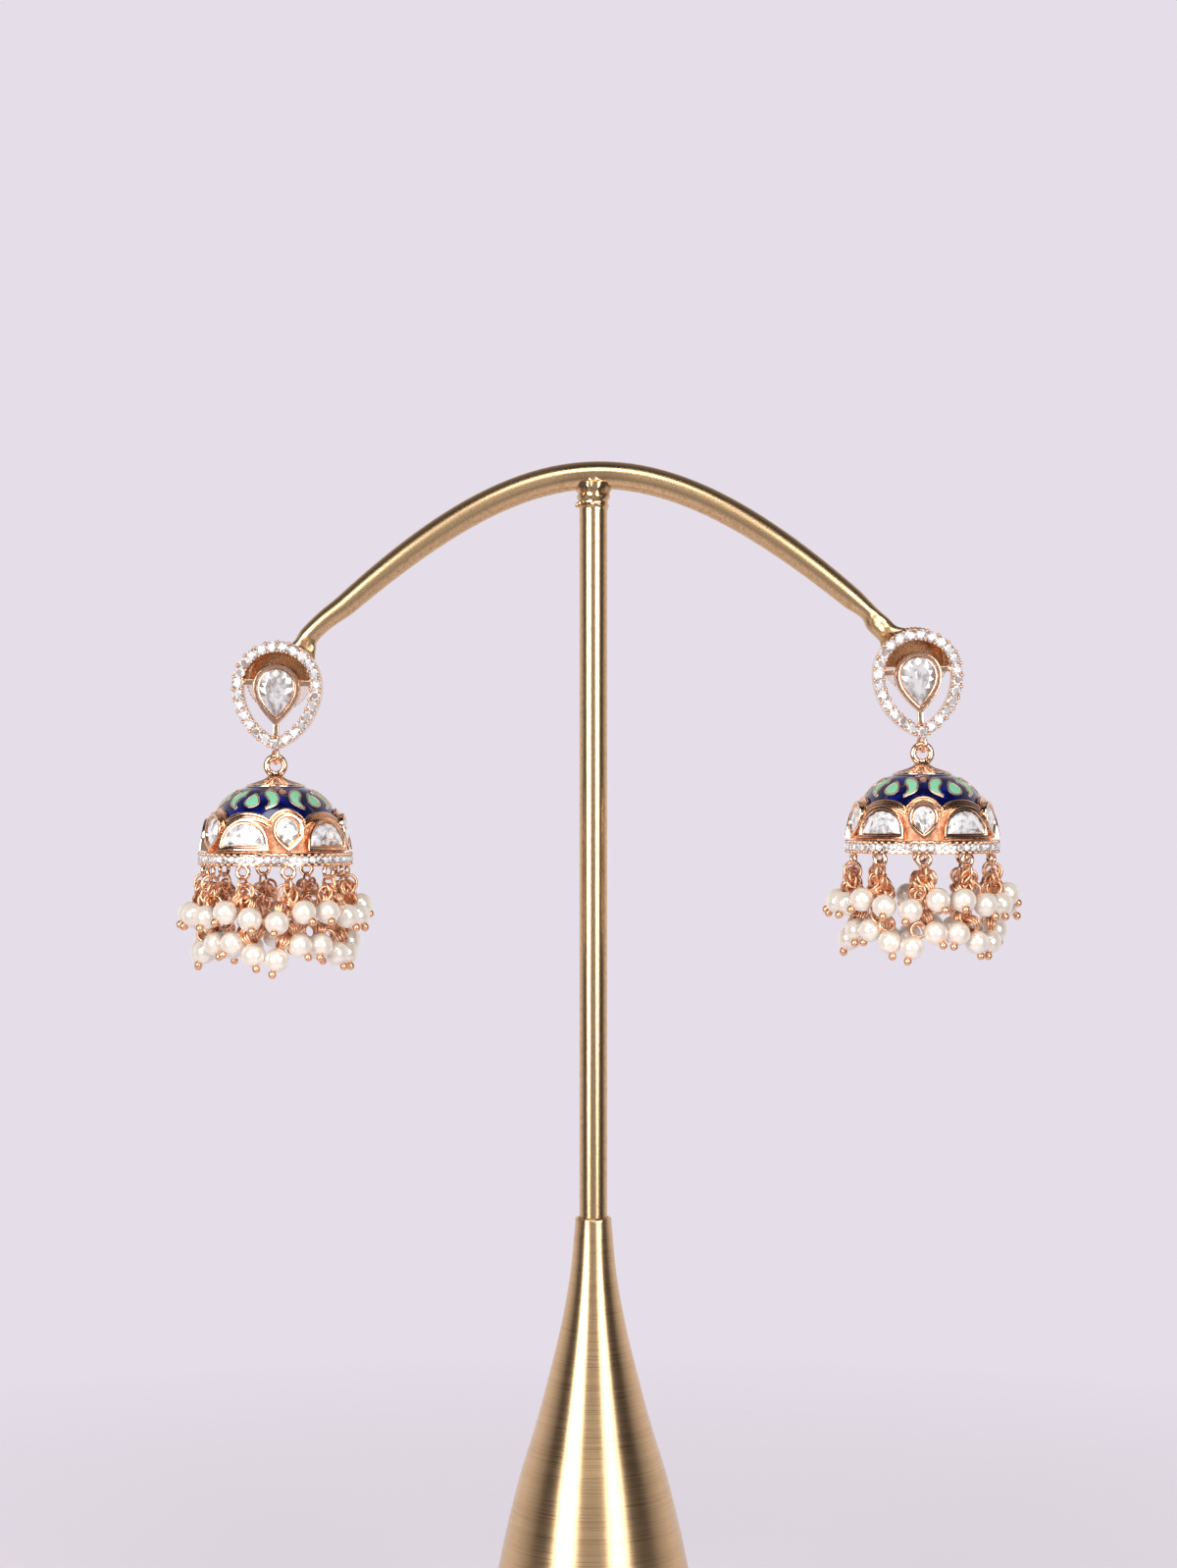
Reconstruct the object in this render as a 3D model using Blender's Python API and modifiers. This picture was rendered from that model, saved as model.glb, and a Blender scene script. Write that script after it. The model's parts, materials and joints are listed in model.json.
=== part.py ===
"""Pair of jhumka earrings hanging on a brass stand with an arched arm.

Metres, +Z up. The origin is the centre of the stand's foot, on the table. +X is to the right
seen from the front, and the front faces -Y. Each earring's bell is laid out by its depth below
the centre of the bail ring that it hangs from.
"""
import math

import bmesh
import bpy
from mathutils import Matrix, Vector

MM = 0.001

# Clearances
SEAT_GAP = 0.10 * MM
PIECE_GAP = 0.30 * MM

# Stand
COLLAR_HEIGHT = 78.0 * MM
COLLAR_RADIUS = 2.6 * MM
FOOT_RADIUS = 16.0 * MM
FOOT_EDGE = 1.6 * MM
POST_RADIUS = 2.0 * MM
SOCKET_DEPTH = 5.0 * MM
ARM_RADIUS = 2.0 * MM
CROWN_HEIGHT = 184.25 * MM
CROWN_X = 0.5 * MM
CROWN_ROUNDING = 57.5 * MM
ARM_SLOPE = 1.375
ARM_TILT_DEG = 0.75
ARM_SPAN = 76.0 * MM
NECK_THICKNESS = 3.0 * MM
TAB_WIDTH = 10.0 * MM
TAB_THICKNESS = 1.2 * MM
TAB_BELOW_POST = 1.0 * MM
SOLDER_RADIUS = 2.5 * MM

# Where each earring's post goes through its tab, how far the halo's round centre lies below the
# post, the lean of the halo and the turn of the bell
LEFT_POST = (-44.9 * MM, 155.1 * MM)
RIGHT_POST = (45.9 * MM, 157.7 * MM)
LEFT_HALO_DROP = 1.2 * MM
RIGHT_HALO_DROP = 2.1 * MM
LEFT_LEAN_DEG = 1.3
RIGHT_LEAN_DEG = -3.8
LEFT_TURN_DEG = 16.0
RIGHT_TURN_DEG = -5.0

# Halo, centre setting and link loop
HALO_RADIUS = 6.5 * MM
HALO_TIP = 9.25 * MM
HALO_BAND = 1.85 * MM
HALO_DEPTH = 2.2 * MM
BEZEL_RADIUS = 3.3 * MM
BEZEL_TIP = 5.1 * MM
BEZEL_RISE = 0.6 * MM
BEZEL_WALL = 0.7 * MM
BEZEL_FLOOR = 0.6 * MM
BAR_WIDTH = 0.8 * MM
BAR_DEPTH = 1.0 * MM
STONE_RISE = 0.5 * MM
EAR_POST_RADIUS = 0.4 * MM
EAR_POST_LENGTH = 9.5 * MM
LINK_RADIUS = 1.05 * MM
LINK_WIRE = 0.27 * MM
CLUTCH_RADIUS = 5.0 * MM
CLUTCH_THICKNESS = 1.6 * MM

# Cap with bail ring, bell and band; depths run down from the bail ring's centre
BAIL_RADIUS = 1.25 * MM
BAIL_WIRE = 0.5 * MM
CAP_RADIUS = 4.25 * MM
CAP_TOP = 1.15 * MM
CAP_BOTTOM = 2.95 * MM
CAP_EDGE = 0.25 * MM
DOME_SHOULDER = 4.2 * MM
DOME_RADIUS = 9.6 * MM
DOME_HEIGHT = 9.1 * MM
DOME_WALL = 0.8 * MM
BAND_RADIUS = 10.95 * MM
BAND_HEIGHT = 1.8 * MM
BAND_WALL = 1.5 * MM

# Settings round the bell
SETTINGS = 10
SETTING_GAP = 0.2 * MM
SETTING_DEPTH = 1.0 * MM
SETTING_LEAN_DEG = 9.0
BEZEL_LIP = 0.55 * MM
MOON_WIDTH = 7.0 * MM
MOON_HEIGHT = 4.5 * MM
PEAR_WIDTH = 4.4 * MM
PEAR_HEIGHT = 5.2 * MM
SETTING_FOOT = 11.9 * MM

# Fringe
PEARL_RADIUS = 1.7 * MM
CHAIN_RADIUS = 0.55 * MM
UPPER_RING = 12.1 * MM
LOWER_RING = 10.4 * MM
UPPER_DEPTH = 21.0 * MM
LOWER_DEPTH = 26.2 * MM

# Outline of the stand's foot: height as a share of the collar's height, radius as a share of the
# way from the post's radius to the foot's radius
FOOT_PROFILE = [
    {"height": 1.000, "flare": 0.030},
    {"height": 0.895, "flare": 0.095},
    {"height": 0.804, "flare": 0.185},
    {"height": 0.713, "flare": 0.307},
    {"height": 0.622, "flare": 0.443},
    {"height": 0.531, "flare": 0.600},
    {"height": 0.440, "flare": 0.729},
    {"height": 0.363, "flare": 0.821},
    {"height": 0.270, "flare": 0.914},
    {"height": 0.170, "flare": 0.979},
    {"height": 0.100, "flare": 1.000},
    {"height": 0.045, "flare": 0.980},
]

# Outline of the bell: depth as a share of its height, radius as a share of the way from its
# shoulder to its rim
DOME_PROFILE = [
    {"depth": 0.000, "swell": 0.000},
    {"depth": 0.055, "swell": 0.235},
    {"depth": 0.130, "swell": 0.425},
    {"depth": 0.230, "swell": 0.610},
    {"depth": 0.350, "swell": 0.750},
    {"depth": 0.500, "swell": 0.870},
    {"depth": 0.700, "swell": 0.965},
    {"depth": 1.000, "swell": 1.000},
]

# Edges of a beaten arm end, from the neck down: across and up are shares of half the tab's
# width, counted outwards and upwards from the ear post; thick is a share of the way from the
# tab's thickness to the neck's
TAB_SECTIONS = [
    {"outer": -0.25, "outer_up": 1.02, "inner": -1.02, "inner_up": 1.10, "thick": 0.60},
    {"outer": 0.42, "outer_up": 0.86, "inner": -1.00, "inner_up": 0.82, "thick": 0.25},
    {"outer": 0.86, "outer_up": 0.52, "inner": -1.00, "inner_up": 0.50, "thick": 0.05},
    {"outer": 1.00, "outer_up": 0.12, "inner": -1.00, "inner_up": 0.12, "thick": 0.00},
]

# Pearls of each drop, front one first, then clockwise seen from above: how much lower the two
# upper and the two lower pearls hang, as shares of a pearl's radius
FRINGE_HANG = [
    {"upper_a": 0.45, "upper_b": -0.40, "lower_a": 0.95, "lower_b": -0.25},
    {"upper_a": -0.35, "upper_b": 0.05, "lower_a": -0.20, "lower_b": 0.55},
    {"upper_a": 0.10, "upper_b": -0.70, "lower_a": 0.60, "lower_b": -0.30},
    {"upper_a": 0.35, "upper_b": -0.15, "lower_a": -0.45, "lower_b": 0.40},
    {"upper_a": -0.10, "upper_b": 0.30, "lower_a": 0.55, "lower_b": -0.20},
    {"upper_a": 0.25, "upper_b": -0.30, "lower_a": -0.35, "lower_b": 0.50},
    {"upper_a": -0.20, "upper_b": 0.20, "lower_a": 0.50, "lower_b": -0.40},
    {"upper_a": 0.30, "upper_b": -0.05, "lower_a": -0.25, "lower_b": 0.60},
    {"upper_a": 0.00, "upper_b": 0.10, "lower_a": 0.45, "lower_b": -0.30},
    {"upper_a": -0.35, "upper_b": 0.15, "lower_a": -0.40, "lower_b": 0.55},
]

# Round counts
TURN_STEPS = 24
FOOT_STEPS = 20
CAP_STEPS = 16
ARM_STEPS = 14
ARM_SIDES = 10
PEARL_SIDES = 10
PEARL_RINGS = 4

# Derived places
CLUTCH_FRONT = -(TAB_THICKNESS * 0.5 + PIECE_GAP + CLUTCH_THICKNESS)
HALO_BACK = CLUTCH_FRONT - PIECE_GAP
DROP_PLANE = HALO_BACK - HALO_DEPTH * 0.5
LINK_ABOVE_BAIL = LINK_RADIUS - LINK_WIRE + BAIL_RADIUS - BAIL_WIRE - PIECE_GAP * 0.5
DOME_TOP = CAP_BOTTOM + SEAT_GAP
DOME_BOTTOM = DOME_TOP + DOME_HEIGHT
BAND_TOP = DOME_BOTTOM + SEAT_GAP
BAND_BOTTOM = BAND_TOP + BAND_HEIGHT


def clear_scene():
    for item in list(bpy.data.objects):
        bpy.data.objects.remove(item, do_unlink=True)


def make_collection(name):
    collection = bpy.data.collections.new(name)
    bpy.context.scene.collection.children.link(collection)
    return collection


def make_material(name, colour, roughness, metallic, alpha=1.0):
    material = bpy.data.materials.new(name)
    material.use_nodes = True
    shader = material.node_tree.nodes["Principled BSDF"]
    shader.inputs["Base Color"].default_value = (*colour, 1.0)
    shader.inputs["Roughness"].default_value = roughness
    shader.inputs["Metallic"].default_value = metallic
    shader.inputs["Alpha"].default_value = alpha
    material.diffuse_color = (*colour, alpha)
    return material


def object_from(name, shape):
    """A new object in the scene from a bmesh, which is freed."""
    mesh = bpy.data.meshes.new(name)
    bmesh.ops.recalc_face_normals(shape, faces=shape.faces)
    shape.to_mesh(mesh)
    shape.free()
    item = bpy.data.objects.new(name, mesh)
    bpy.context.scene.collection.objects.link(item)
    return item


def evaluated_mesh(item):
    graph = bpy.context.evaluated_depsgraph_get()
    return bpy.data.meshes.new_from_object(item.evaluated_get(graph))


def baked(item):
    """The object's evaluated shape as a plain mesh object at the same place."""
    mesh = evaluated_mesh(item)
    name = item.name
    place = item.matrix_world.copy()
    bpy.data.objects.remove(item, do_unlink=True)
    solid = bpy.data.objects.new(name, mesh)
    bpy.context.scene.collection.objects.link(solid)
    solid.matrix_world = place
    bpy.context.view_layer.update()
    return solid


def combine(first, others, operation):
    """Unite others with first, or cut them from it, and return the one solid that results."""
    for other in others:
        step = first.modifiers.new(other.name, "BOOLEAN")
        step.operation = operation
        step.solver = "EXACT"
        step.object = other
    bpy.context.view_layer.update()
    solid = baked(first)
    for other in others:
        bpy.data.objects.remove(other, do_unlink=True)
    return solid


def loft(name, sections, closed=False):
    """Skin a row of like-sized rings of points; the row's ends are capped unless it closes."""
    shape = bmesh.new()
    rings = [[shape.verts.new(point) for point in ring] for ring in sections]
    pairs = list(zip(rings, rings[1:]))
    if closed:
        pairs.append((rings[-1], rings[0]))
    else:
        shape.faces.new(rings[0])
        shape.faces.new(rings[-1])
    for ring, following in pairs:
        for i in range(len(ring)):
            j = (i + 1) % len(ring)
            shape.faces.new((ring[i], ring[j], following[j], following[i]))
    return object_from(name, shape)


def turned(name, profile, steps):
    """A solid of revolution about Z from a profile of (radius, height), run down its outside."""
    shape = bmesh.new()
    points = [shape.verts.new((radius, 0.0, height)) for radius, height in profile]
    for start, end in zip(points, points[1:]):
        shape.edges.new((start, end))
    if profile[0][0] > 0.0:
        shape.edges.new((points[-1], points[0]))
    mesh = bpy.data.meshes.new(name)
    shape.to_mesh(mesh)
    shape.free()
    item = bpy.data.objects.new(name, mesh)
    bpy.context.scene.collection.objects.link(item)
    screw = item.modifiers.new("Turn", "SCREW")
    screw.axis = "Z"
    screw.angle = math.tau
    screw.steps = steps
    screw.render_steps = steps
    screw.use_merge_vertices = True
    screw.merge_threshold = 0.00001
    bpy.context.view_layer.update()
    solid = baked(item)
    shape = bmesh.new()
    shape.from_mesh(solid.data)
    bmesh.ops.remove_doubles(shape, verts=shape.verts, dist=0.000005)
    bmesh.ops.recalc_face_normals(shape, faces=shape.faces)
    shape.to_mesh(solid.data)
    shape.free()
    return solid


def cylinder(name, radius, depth, sides, place):
    shape = bmesh.new()
    bmesh.ops.create_cone(
        shape, cap_ends=True, segments=sides, radius1=radius, radius2=radius, depth=depth, matrix=place)
    return object_from(name, shape)


def ball(name, radius, sides, rings, place):
    shape = bmesh.new()
    bmesh.ops.create_uvsphere(shape, u_segments=sides, v_segments=rings, radius=radius, matrix=place)
    return object_from(name, shape)


def block(name, size, place):
    shape = bmesh.new()
    bmesh.ops.create_cube(shape, size=1.0, matrix=place @ Matrix.Diagonal((*size, 1.0)))
    return object_from(name, shape)


def ring(name, radius, wire, sides, wire_sides, place):
    bpy.ops.mesh.primitive_torus_add(
        major_radius=radius, minor_radius=wire, major_segments=sides, minor_segments=wire_sides)
    item = bpy.context.object
    item.name = name
    item.data.transform(place)
    return item


def pear_outline(radius, tip, inset, count):
    """Points (x, z) of a pear: a half circle above the origin, two arcs to a tip below it.

    inset moves the whole outline inwards. count is the number of points on each side.
    """
    side = (radius * radius + tip * tip) / (2.0 * radius)
    round_radius = radius - inset
    side_radius = side - inset
    reach = math.acos((side - radius) / side_radius)
    quarter = count // 2
    right = []
    for i in range(quarter):
        angle = math.pi / 2 - math.pi / 2 * i / quarter
        right.append((round_radius * math.cos(angle), round_radius * math.sin(angle)))
    for i in range(count - quarter):
        angle = reach * i / (count - quarter)
        right.append((radius - side + side_radius * math.cos(angle), -side_radius * math.sin(angle)))
    tip_point = (0.0, -side_radius * math.sin(reach))
    left = [(-x, z) for x, z in reversed(right[1:])]
    return right + [tip_point] + left


def moon_outline(width, height, inset, count):
    """Points (x, z) of a half moon, flat side down along z = 0."""
    half = width * 0.5 - inset
    rise = height - inset * 2.0
    points = []
    for i in range(count + 1):
        angle = math.pi * i / count
        points.append((half * math.cos(angle), inset + rise * math.sin(angle)))
    return points


def layers(name, rows):
    """A capped stack of outlines: each row is (outline of (x, z), y)."""
    return loft(name, [[(x, y, z) for x, z in outline] for outline, y in rows])


def superellipse(centre, across, thick_axis, half_width, half_thickness, sides):
    points = []
    for i in range(sides):
        angle = math.tau * (i + 0.5) / sides
        points.append(centre + across * half_width * math.cos(angle)
                      + thick_axis * half_thickness * math.sin(angle))
    return points


def arm_point(u):
    """Centre of the arm and its direction at a distance u sideways from the crown."""
    drop = math.hypot(CROWN_ROUNDING, ARM_SLOPE * u) - CROWN_ROUNDING
    slope = ARM_SLOPE * ARM_SLOPE * u / math.hypot(CROWN_ROUNDING, ARM_SLOPE * u)
    tilt = Matrix.Rotation(-math.radians(ARM_TILT_DEG), 3, "Y")
    point = tilt @ Vector((u, 0.0, -drop)) + Vector((CROWN_X, 0.0, CROWN_HEIGHT))
    direction = (tilt @ Vector((1.0, 0.0, -slope))).normalized()
    return point, direction


def tab_rings(post, outward):
    """Sections of a beaten arm end, from the neck to the tab's lower edge."""
    half = TAB_WIDTH * 0.5
    depth_axis = Vector((0.0, 1.0, 0.0))
    rows = []
    for row in TAB_SECTIONS:
        outer = Vector((post[0] + outward * row["outer"] * half, 0.0, post[1] + row["outer_up"] * half))
        inner = Vector((post[0] + outward * row["inner"] * half, 0.0, post[1] + row["inner_up"] * half))
        thick = TAB_THICKNESS + (NECK_THICKNESS - TAB_THICKNESS) * row["thick"]
        rows.append((outer, inner, thick))
    for narrow in (1.0, 0.9):
        outer = Vector((post[0] + outward * half * narrow, 0.0, post[1] - TAB_BELOW_POST * narrow))
        inner = Vector((post[0] - outward * half * narrow, 0.0, post[1] - TAB_BELOW_POST * narrow))
        drop = Vector((0.0, 0.0, -TAB_THICKNESS * 0.3 * (1.0 - narrow) * 10.0))
        rows.append((outer + drop, inner + drop, TAB_THICKNESS * narrow))
    rings = []
    for outer, inner, thick in rows:
        across = (outer - inner) * 0.5
        centre = (outer + inner) * 0.5
        rings.append(superellipse(
            centre, across.normalized(), depth_axis, across.length, thick * 0.5, ARM_SIDES))
    return rings


def build_stand_frame():
    half = ARM_SPAN * 0.5
    depth_axis = Vector((0.0, 1.0, 0.0))
    rings = []
    for i in range(ARM_STEPS + 1):
        point, direction = arm_point(half * (2.0 * i / ARM_STEPS - 1.0))
        across = direction.cross(depth_axis).normalized()
        rings.append(superellipse(point, across, depth_axis, ARM_RADIUS, ARM_RADIUS, ARM_SIDES))
    left = tab_rings(LEFT_POST, -1.0)
    right = tab_rings(RIGHT_POST, 1.0)
    # Along the left arm the outer edge lies on the same side of the ring as the arm's top
    top_first = [matched(section, rings[0]) for section in left]
    bottom_last = [matched(section, rings[-1]) for section in right]
    arm = loft("stand_frame", list(reversed(top_first)) + rings + bottom_last)
    crown, direction = arm_point(-CROWN_X)
    post_bottom = COLLAR_HEIGHT - SOCKET_DEPTH + PIECE_GAP
    length = crown.z - post_bottom
    post = cylinder("post", POST_RADIUS, length, 16, Matrix.Translation((0, 0, post_bottom + length * 0.5)))
    solder = ball("solder", SOLDER_RADIUS, 12, 6, Matrix.Translation((0, 0, crown.z - ARM_RADIUS)))
    frame = combine(arm, [post, solder], "UNION")
    holes = []
    for place in (LEFT_POST, RIGHT_POST):
        turn = Matrix.Translation((place[0], 0.0, place[1])) @ Matrix.Rotation(math.pi / 2, 4, "X")
        holes.append(cylinder("hole", EAR_POST_RADIUS + PIECE_GAP * 0.5, TAB_THICKNESS * 6.0, 10, turn))
    return combine(frame, holes, "DIFFERENCE")


def matched(section, reference):
    """The section's points started and run so that they pair with the reference ring's."""
    count = len(section)
    centre = sum(section, Vector()) / count
    reference_centre = sum(reference, Vector()) / count
    best = None
    for order in (section, list(reversed(section))):
        for start in range(count):
            turned_order = order[start:] + order[:start]
            cost = sum(
                ((a - centre).normalized() - (b - reference_centre).normalized()).length
                for a, b in zip(turned_order, reference))
            if best is None or cost < best[0]:
                best = (cost, turned_order)
    return best[1]


def build_stand_base():
    profile = []
    flare = FOOT_RADIUS - POST_RADIUS
    collar_bottom = COLLAR_HEIGHT - COLLAR_RADIUS * 0.25
    socket = POST_RADIUS + PIECE_GAP
    profile.append((socket, COLLAR_HEIGHT - SOCKET_DEPTH))
    profile.append((socket, COLLAR_HEIGHT))
    profile.append((COLLAR_RADIUS, COLLAR_HEIGHT))
    profile.append((COLLAR_RADIUS, collar_bottom))
    for row in FOOT_PROFILE[1:]:
        profile.append((POST_RADIUS + flare * row["flare"], COLLAR_HEIGHT * row["height"]))
    edge = POST_RADIUS + flare * FOOT_PROFILE[-1]["flare"] - FOOT_EDGE
    profile.append((edge, 0.0))
    closed = [(0.0, profile[0][1])] + profile + [(0.0, 0.0)]
    return turned("stand_base", closed, FOOT_STEPS)


def pear_ring(name, radius, tip, wall, front, back, count, inset=0.0):
    """A pear-shaped ring between two planes of y, its front edges eased."""
    ease = wall * 0.2
    outer = pear_outline(radius, tip, inset, count)
    outer_eased = pear_outline(radius, tip, inset + ease, count)
    inner_eased = pear_outline(radius, tip, inset + wall - ease, count)
    inner = pear_outline(radius, tip, inset + wall, count)
    rows = []
    for i in range(len(outer)):
        rows.append([
            (outer[i][0], back, outer[i][1]),
            (outer[i][0], front + ease, outer[i][1]),
            (outer_eased[i][0], front, outer_eased[i][1]),
            (inner_eased[i][0], front, inner_eased[i][1]),
            (inner[i][0], front + ease, inner[i][1]),
            (inner[i][0], back, inner[i][1]),
        ])
    return loft(name, rows, closed=True)


def build_stud(side, post, drop, lean):
    """Halo, bars, centre bezel, link loop and ear post, laid out round the halo's round centre."""
    front = -HALO_DEPTH * 0.5
    back = HALO_DEPTH * 0.5
    halo = pear_ring("halo", HALO_RADIUS, HALO_TIP, HALO_BAND, front, back, 12)
    bezel_front = front - BEZEL_RISE
    cup = layers("cup", [
        (pear_outline(BEZEL_RADIUS, BEZEL_TIP, 0.0, 9), back),
        (pear_outline(BEZEL_RADIUS, BEZEL_TIP, 0.0, 9), bezel_front + BEZEL_WALL * 0.3),
        (pear_outline(BEZEL_RADIUS, BEZEL_TIP, BEZEL_WALL * 0.3, 9), bezel_front),
    ])
    pocket = layers("pocket", [
        (pear_outline(BEZEL_RADIUS, BEZEL_TIP, BEZEL_WALL, 9), back - BEZEL_FLOOR),
        (pear_outline(BEZEL_RADIUS, BEZEL_TIP, BEZEL_WALL, 9), bezel_front - BEZEL_WALL),
    ])
    cup = combine(cup, [pocket], "DIFFERENCE")
    bars = []
    inner_radius = HALO_RADIUS - HALO_BAND
    for sign in (-1.0, 1.0):
        reach = (BEZEL_RADIUS - BEZEL_WALL * 0.6, inner_radius + HALO_BAND * 0.3)
        centre = Matrix.Translation((sign * sum(reach) * 0.5, back - BAR_DEPTH * 0.6, BEZEL_RADIUS * 0.12))
        bars.append(block("bar", (reach[1] - reach[0], BAR_DEPTH, BAR_WIDTH), centre))
    bezel_tip = -pear_tip(BEZEL_RADIUS, BEZEL_TIP, BEZEL_WALL * 0.6)
    halo_tip = -pear_tip(HALO_RADIUS, HALO_TIP, HALO_BAND * 0.7)
    centre = Matrix.Translation((0.0, back - BAR_DEPTH * 0.6, (bezel_tip + halo_tip) * 0.5))
    bars.append(block("bar", (BAR_WIDTH, BAR_DEPTH, bezel_tip - halo_tip), centre))
    upright = Matrix.Translation((0.0, 0.0, link_height())) @ Matrix.Rotation(math.pi / 2, 4, "Y")
    link = ring("link", LINK_RADIUS, LINK_WIRE, 14, 6, upright)
    length = EAR_POST_LENGTH + BEZEL_FLOOR * 0.5
    place = Matrix.Translation((0.0, back - BEZEL_FLOOR * 0.5 + length * 0.5, drop))
    ear_post = cylinder("ear_post", EAR_POST_RADIUS, length, 8, place @ Matrix.Rotation(math.pi / 2, 4, "X"))
    stud = combine(cup, bars + [halo, link, ear_post], "UNION")
    stud.name = side + "_stud"
    stud.data.name = stud.name
    stud.matrix_world = stud_place(post, drop, lean)
    stone = centre_stone(side + "_centre_stone", bezel_front, back)
    stone.matrix_world = stud_place(post, drop, lean)
    return stud, stone


def pear_tip(radius, tip, inset):
    """How far the tip of an inset pear lies below its round centre."""
    side = (radius * radius + tip * tip) / (2.0 * radius)
    return math.sqrt((side - inset) ** 2 - (side - radius) ** 2)


def link_height():
    """Height of the link loop's centre in the halo's own frame, its top sunk in the tip."""
    return -HALO_TIP - LINK_RADIUS + LINK_WIRE + SEAT_GAP


def stud_place(post, drop, lean):
    """The halo leans about the ear post; its round centre is a little below that."""
    return (Matrix.Translation((post[0], DROP_PLANE, post[1]))
            @ Matrix.Rotation(math.radians(lean), 4, "Y")
            @ Matrix.Translation((0.0, 0.0, -drop)))


def centre_stone(name, bezel_front, back):
    """Pear cut: pavilion, girdle, crown and table, seated inside the bezel."""
    seat = BEZEL_WALL + SEAT_GAP
    floor = back - BEZEL_FLOOR - SEAT_GAP
    girdle = bezel_front + BEZEL_WALL
    return layers(name, [
        (pear_outline(BEZEL_RADIUS, BEZEL_TIP, BEZEL_WALL * 2.6, 9), floor),
        (pear_outline(BEZEL_RADIUS, BEZEL_TIP, seat, 9), girdle),
        (pear_outline(BEZEL_RADIUS, BEZEL_TIP, seat, 9), bezel_front),
        (pear_outline(BEZEL_RADIUS, BEZEL_TIP, BEZEL_WALL * 1.9, 9), bezel_front - STONE_RISE),
    ])


def build_clutch(side, post):
    shape = bmesh.new()
    place = (Matrix.Translation((post[0], CLUTCH_FRONT + CLUTCH_THICKNESS * 0.5, post[1]))
             @ Matrix.Rotation(math.pi / 2, 4, "X"))
    bmesh.ops.create_cone(shape, cap_ends=True, segments=24, radius1=CLUTCH_RADIUS,
                          radius2=CLUTCH_RADIUS, depth=CLUTCH_THICKNESS, matrix=place)
    disc = object_from(side + "_clutch", shape)
    hole = cylinder("hole", EAR_POST_RADIUS + SEAT_GAP, CLUTCH_THICKNESS * 3.0, 8, place)
    return combine(disc, [hole], "DIFFERENCE")


def bail_place(post, drop, lean):
    """Centre of the bail ring: it hangs in the link loop under the halo's leaning tip."""
    link = stud_place(post, drop, lean) @ Vector((0.0, 0.0, link_height()))
    return Vector((link.x, DROP_PLANE, link.z - LINK_ABOVE_BAIL))


def build_cap(side, place):
    profile = [
        (0.0, -CAP_TOP),
        (BAIL_WIRE * 1.6, -CAP_TOP - BAIL_WIRE * 0.2),
        (CAP_RADIUS * 0.42, -CAP_TOP - (CAP_BOTTOM - CAP_TOP) * 0.45),
        (CAP_RADIUS * 0.72, -CAP_TOP - (CAP_BOTTOM - CAP_TOP) * 0.70),
        (CAP_RADIUS, -CAP_BOTTOM + CAP_EDGE),
        (CAP_RADIUS, -CAP_BOTTOM),
        (0.0, -CAP_BOTTOM),
    ]
    cone = turned(side + "_cap", profile, CAP_STEPS)
    bail = ring("bail", BAIL_RADIUS, BAIL_WIRE, 14, 6, Matrix.Rotation(math.pi / 2, 4, "X"))
    cap = combine(cone, [bail], "UNION")
    cap.matrix_world = Matrix.Translation(place)
    return cap


def dome_radius(row):
    return DOME_SHOULDER + (DOME_RADIUS - DOME_SHOULDER) * row["swell"]


def build_dome(side, place):
    outer = [(dome_radius(row), -DOME_TOP - DOME_HEIGHT * row["depth"]) for row in DOME_PROFILE]
    inner = [(dome_radius(row) - DOME_WALL, -DOME_TOP - DOME_HEIGHT * row["depth"] * 0.94 - DOME_WALL * 0.5)
             for row in DOME_PROFILE[1::2]]
    inner[-1] = (DOME_RADIUS - DOME_WALL, -DOME_BOTTOM)
    top = [(0.0, -DOME_TOP)]
    ceiling = [(DOME_SHOULDER - DOME_WALL, -DOME_TOP - DOME_WALL), (0.0, -DOME_TOP - DOME_WALL)]
    dome = turned(side + "_dome", top + outer + list(reversed(inner)) + ceiling, TURN_STEPS)
    dome.matrix_world = Matrix.Translation(place)
    return dome


def build_band(side, place):
    inner = BAND_RADIUS - BAND_WALL
    round_edge = BAND_HEIGHT * 0.2
    profile = [
        (inner, -BAND_TOP),
        (BAND_RADIUS - round_edge, -BAND_TOP),
        (BAND_RADIUS, -BAND_TOP - round_edge),
        (BAND_RADIUS, -BAND_BOTTOM + round_edge),
        (BAND_RADIUS - round_edge, -BAND_BOTTOM),
        (inner, -BAND_BOTTOM),
    ]
    band = turned(side + "_band", profile, TURN_STEPS)
    band.matrix_world = Matrix.Translation(place)
    return band


def setting(name, outline_rows):
    """A bezel with its stone, standing on y = 0 and facing -Y."""
    rows = [
        (outline_rows(0.0), 0.0),
        (outline_rows(BEZEL_LIP * 0.2), -SETTING_DEPTH),
        (outline_rows(BEZEL_LIP), -SETTING_DEPTH),
        (outline_rows(BEZEL_LIP * 1.3), -SETTING_DEPTH * 0.75),
        (outline_rows(BEZEL_LIP * 2.2), -SETTING_DEPTH * 1.1),
    ]
    return layers(name, rows)


def setting_place(place, azimuth, lift):
    """Where a setting stands on the bell: azimuth from the front, positive to the right."""
    turn = Matrix.Rotation(azimuth, 4, "Z")
    lean = Matrix.Rotation(-math.radians(SETTING_LEAN_DEG), 4, "X")
    stand = Matrix.Translation((0.0, -DOME_RADIUS - SETTING_GAP, -SETTING_FOOT))
    return Matrix.Translation(place) @ turn @ stand @ lean @ Matrix.Translation((0.0, 0.0, lift))


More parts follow.
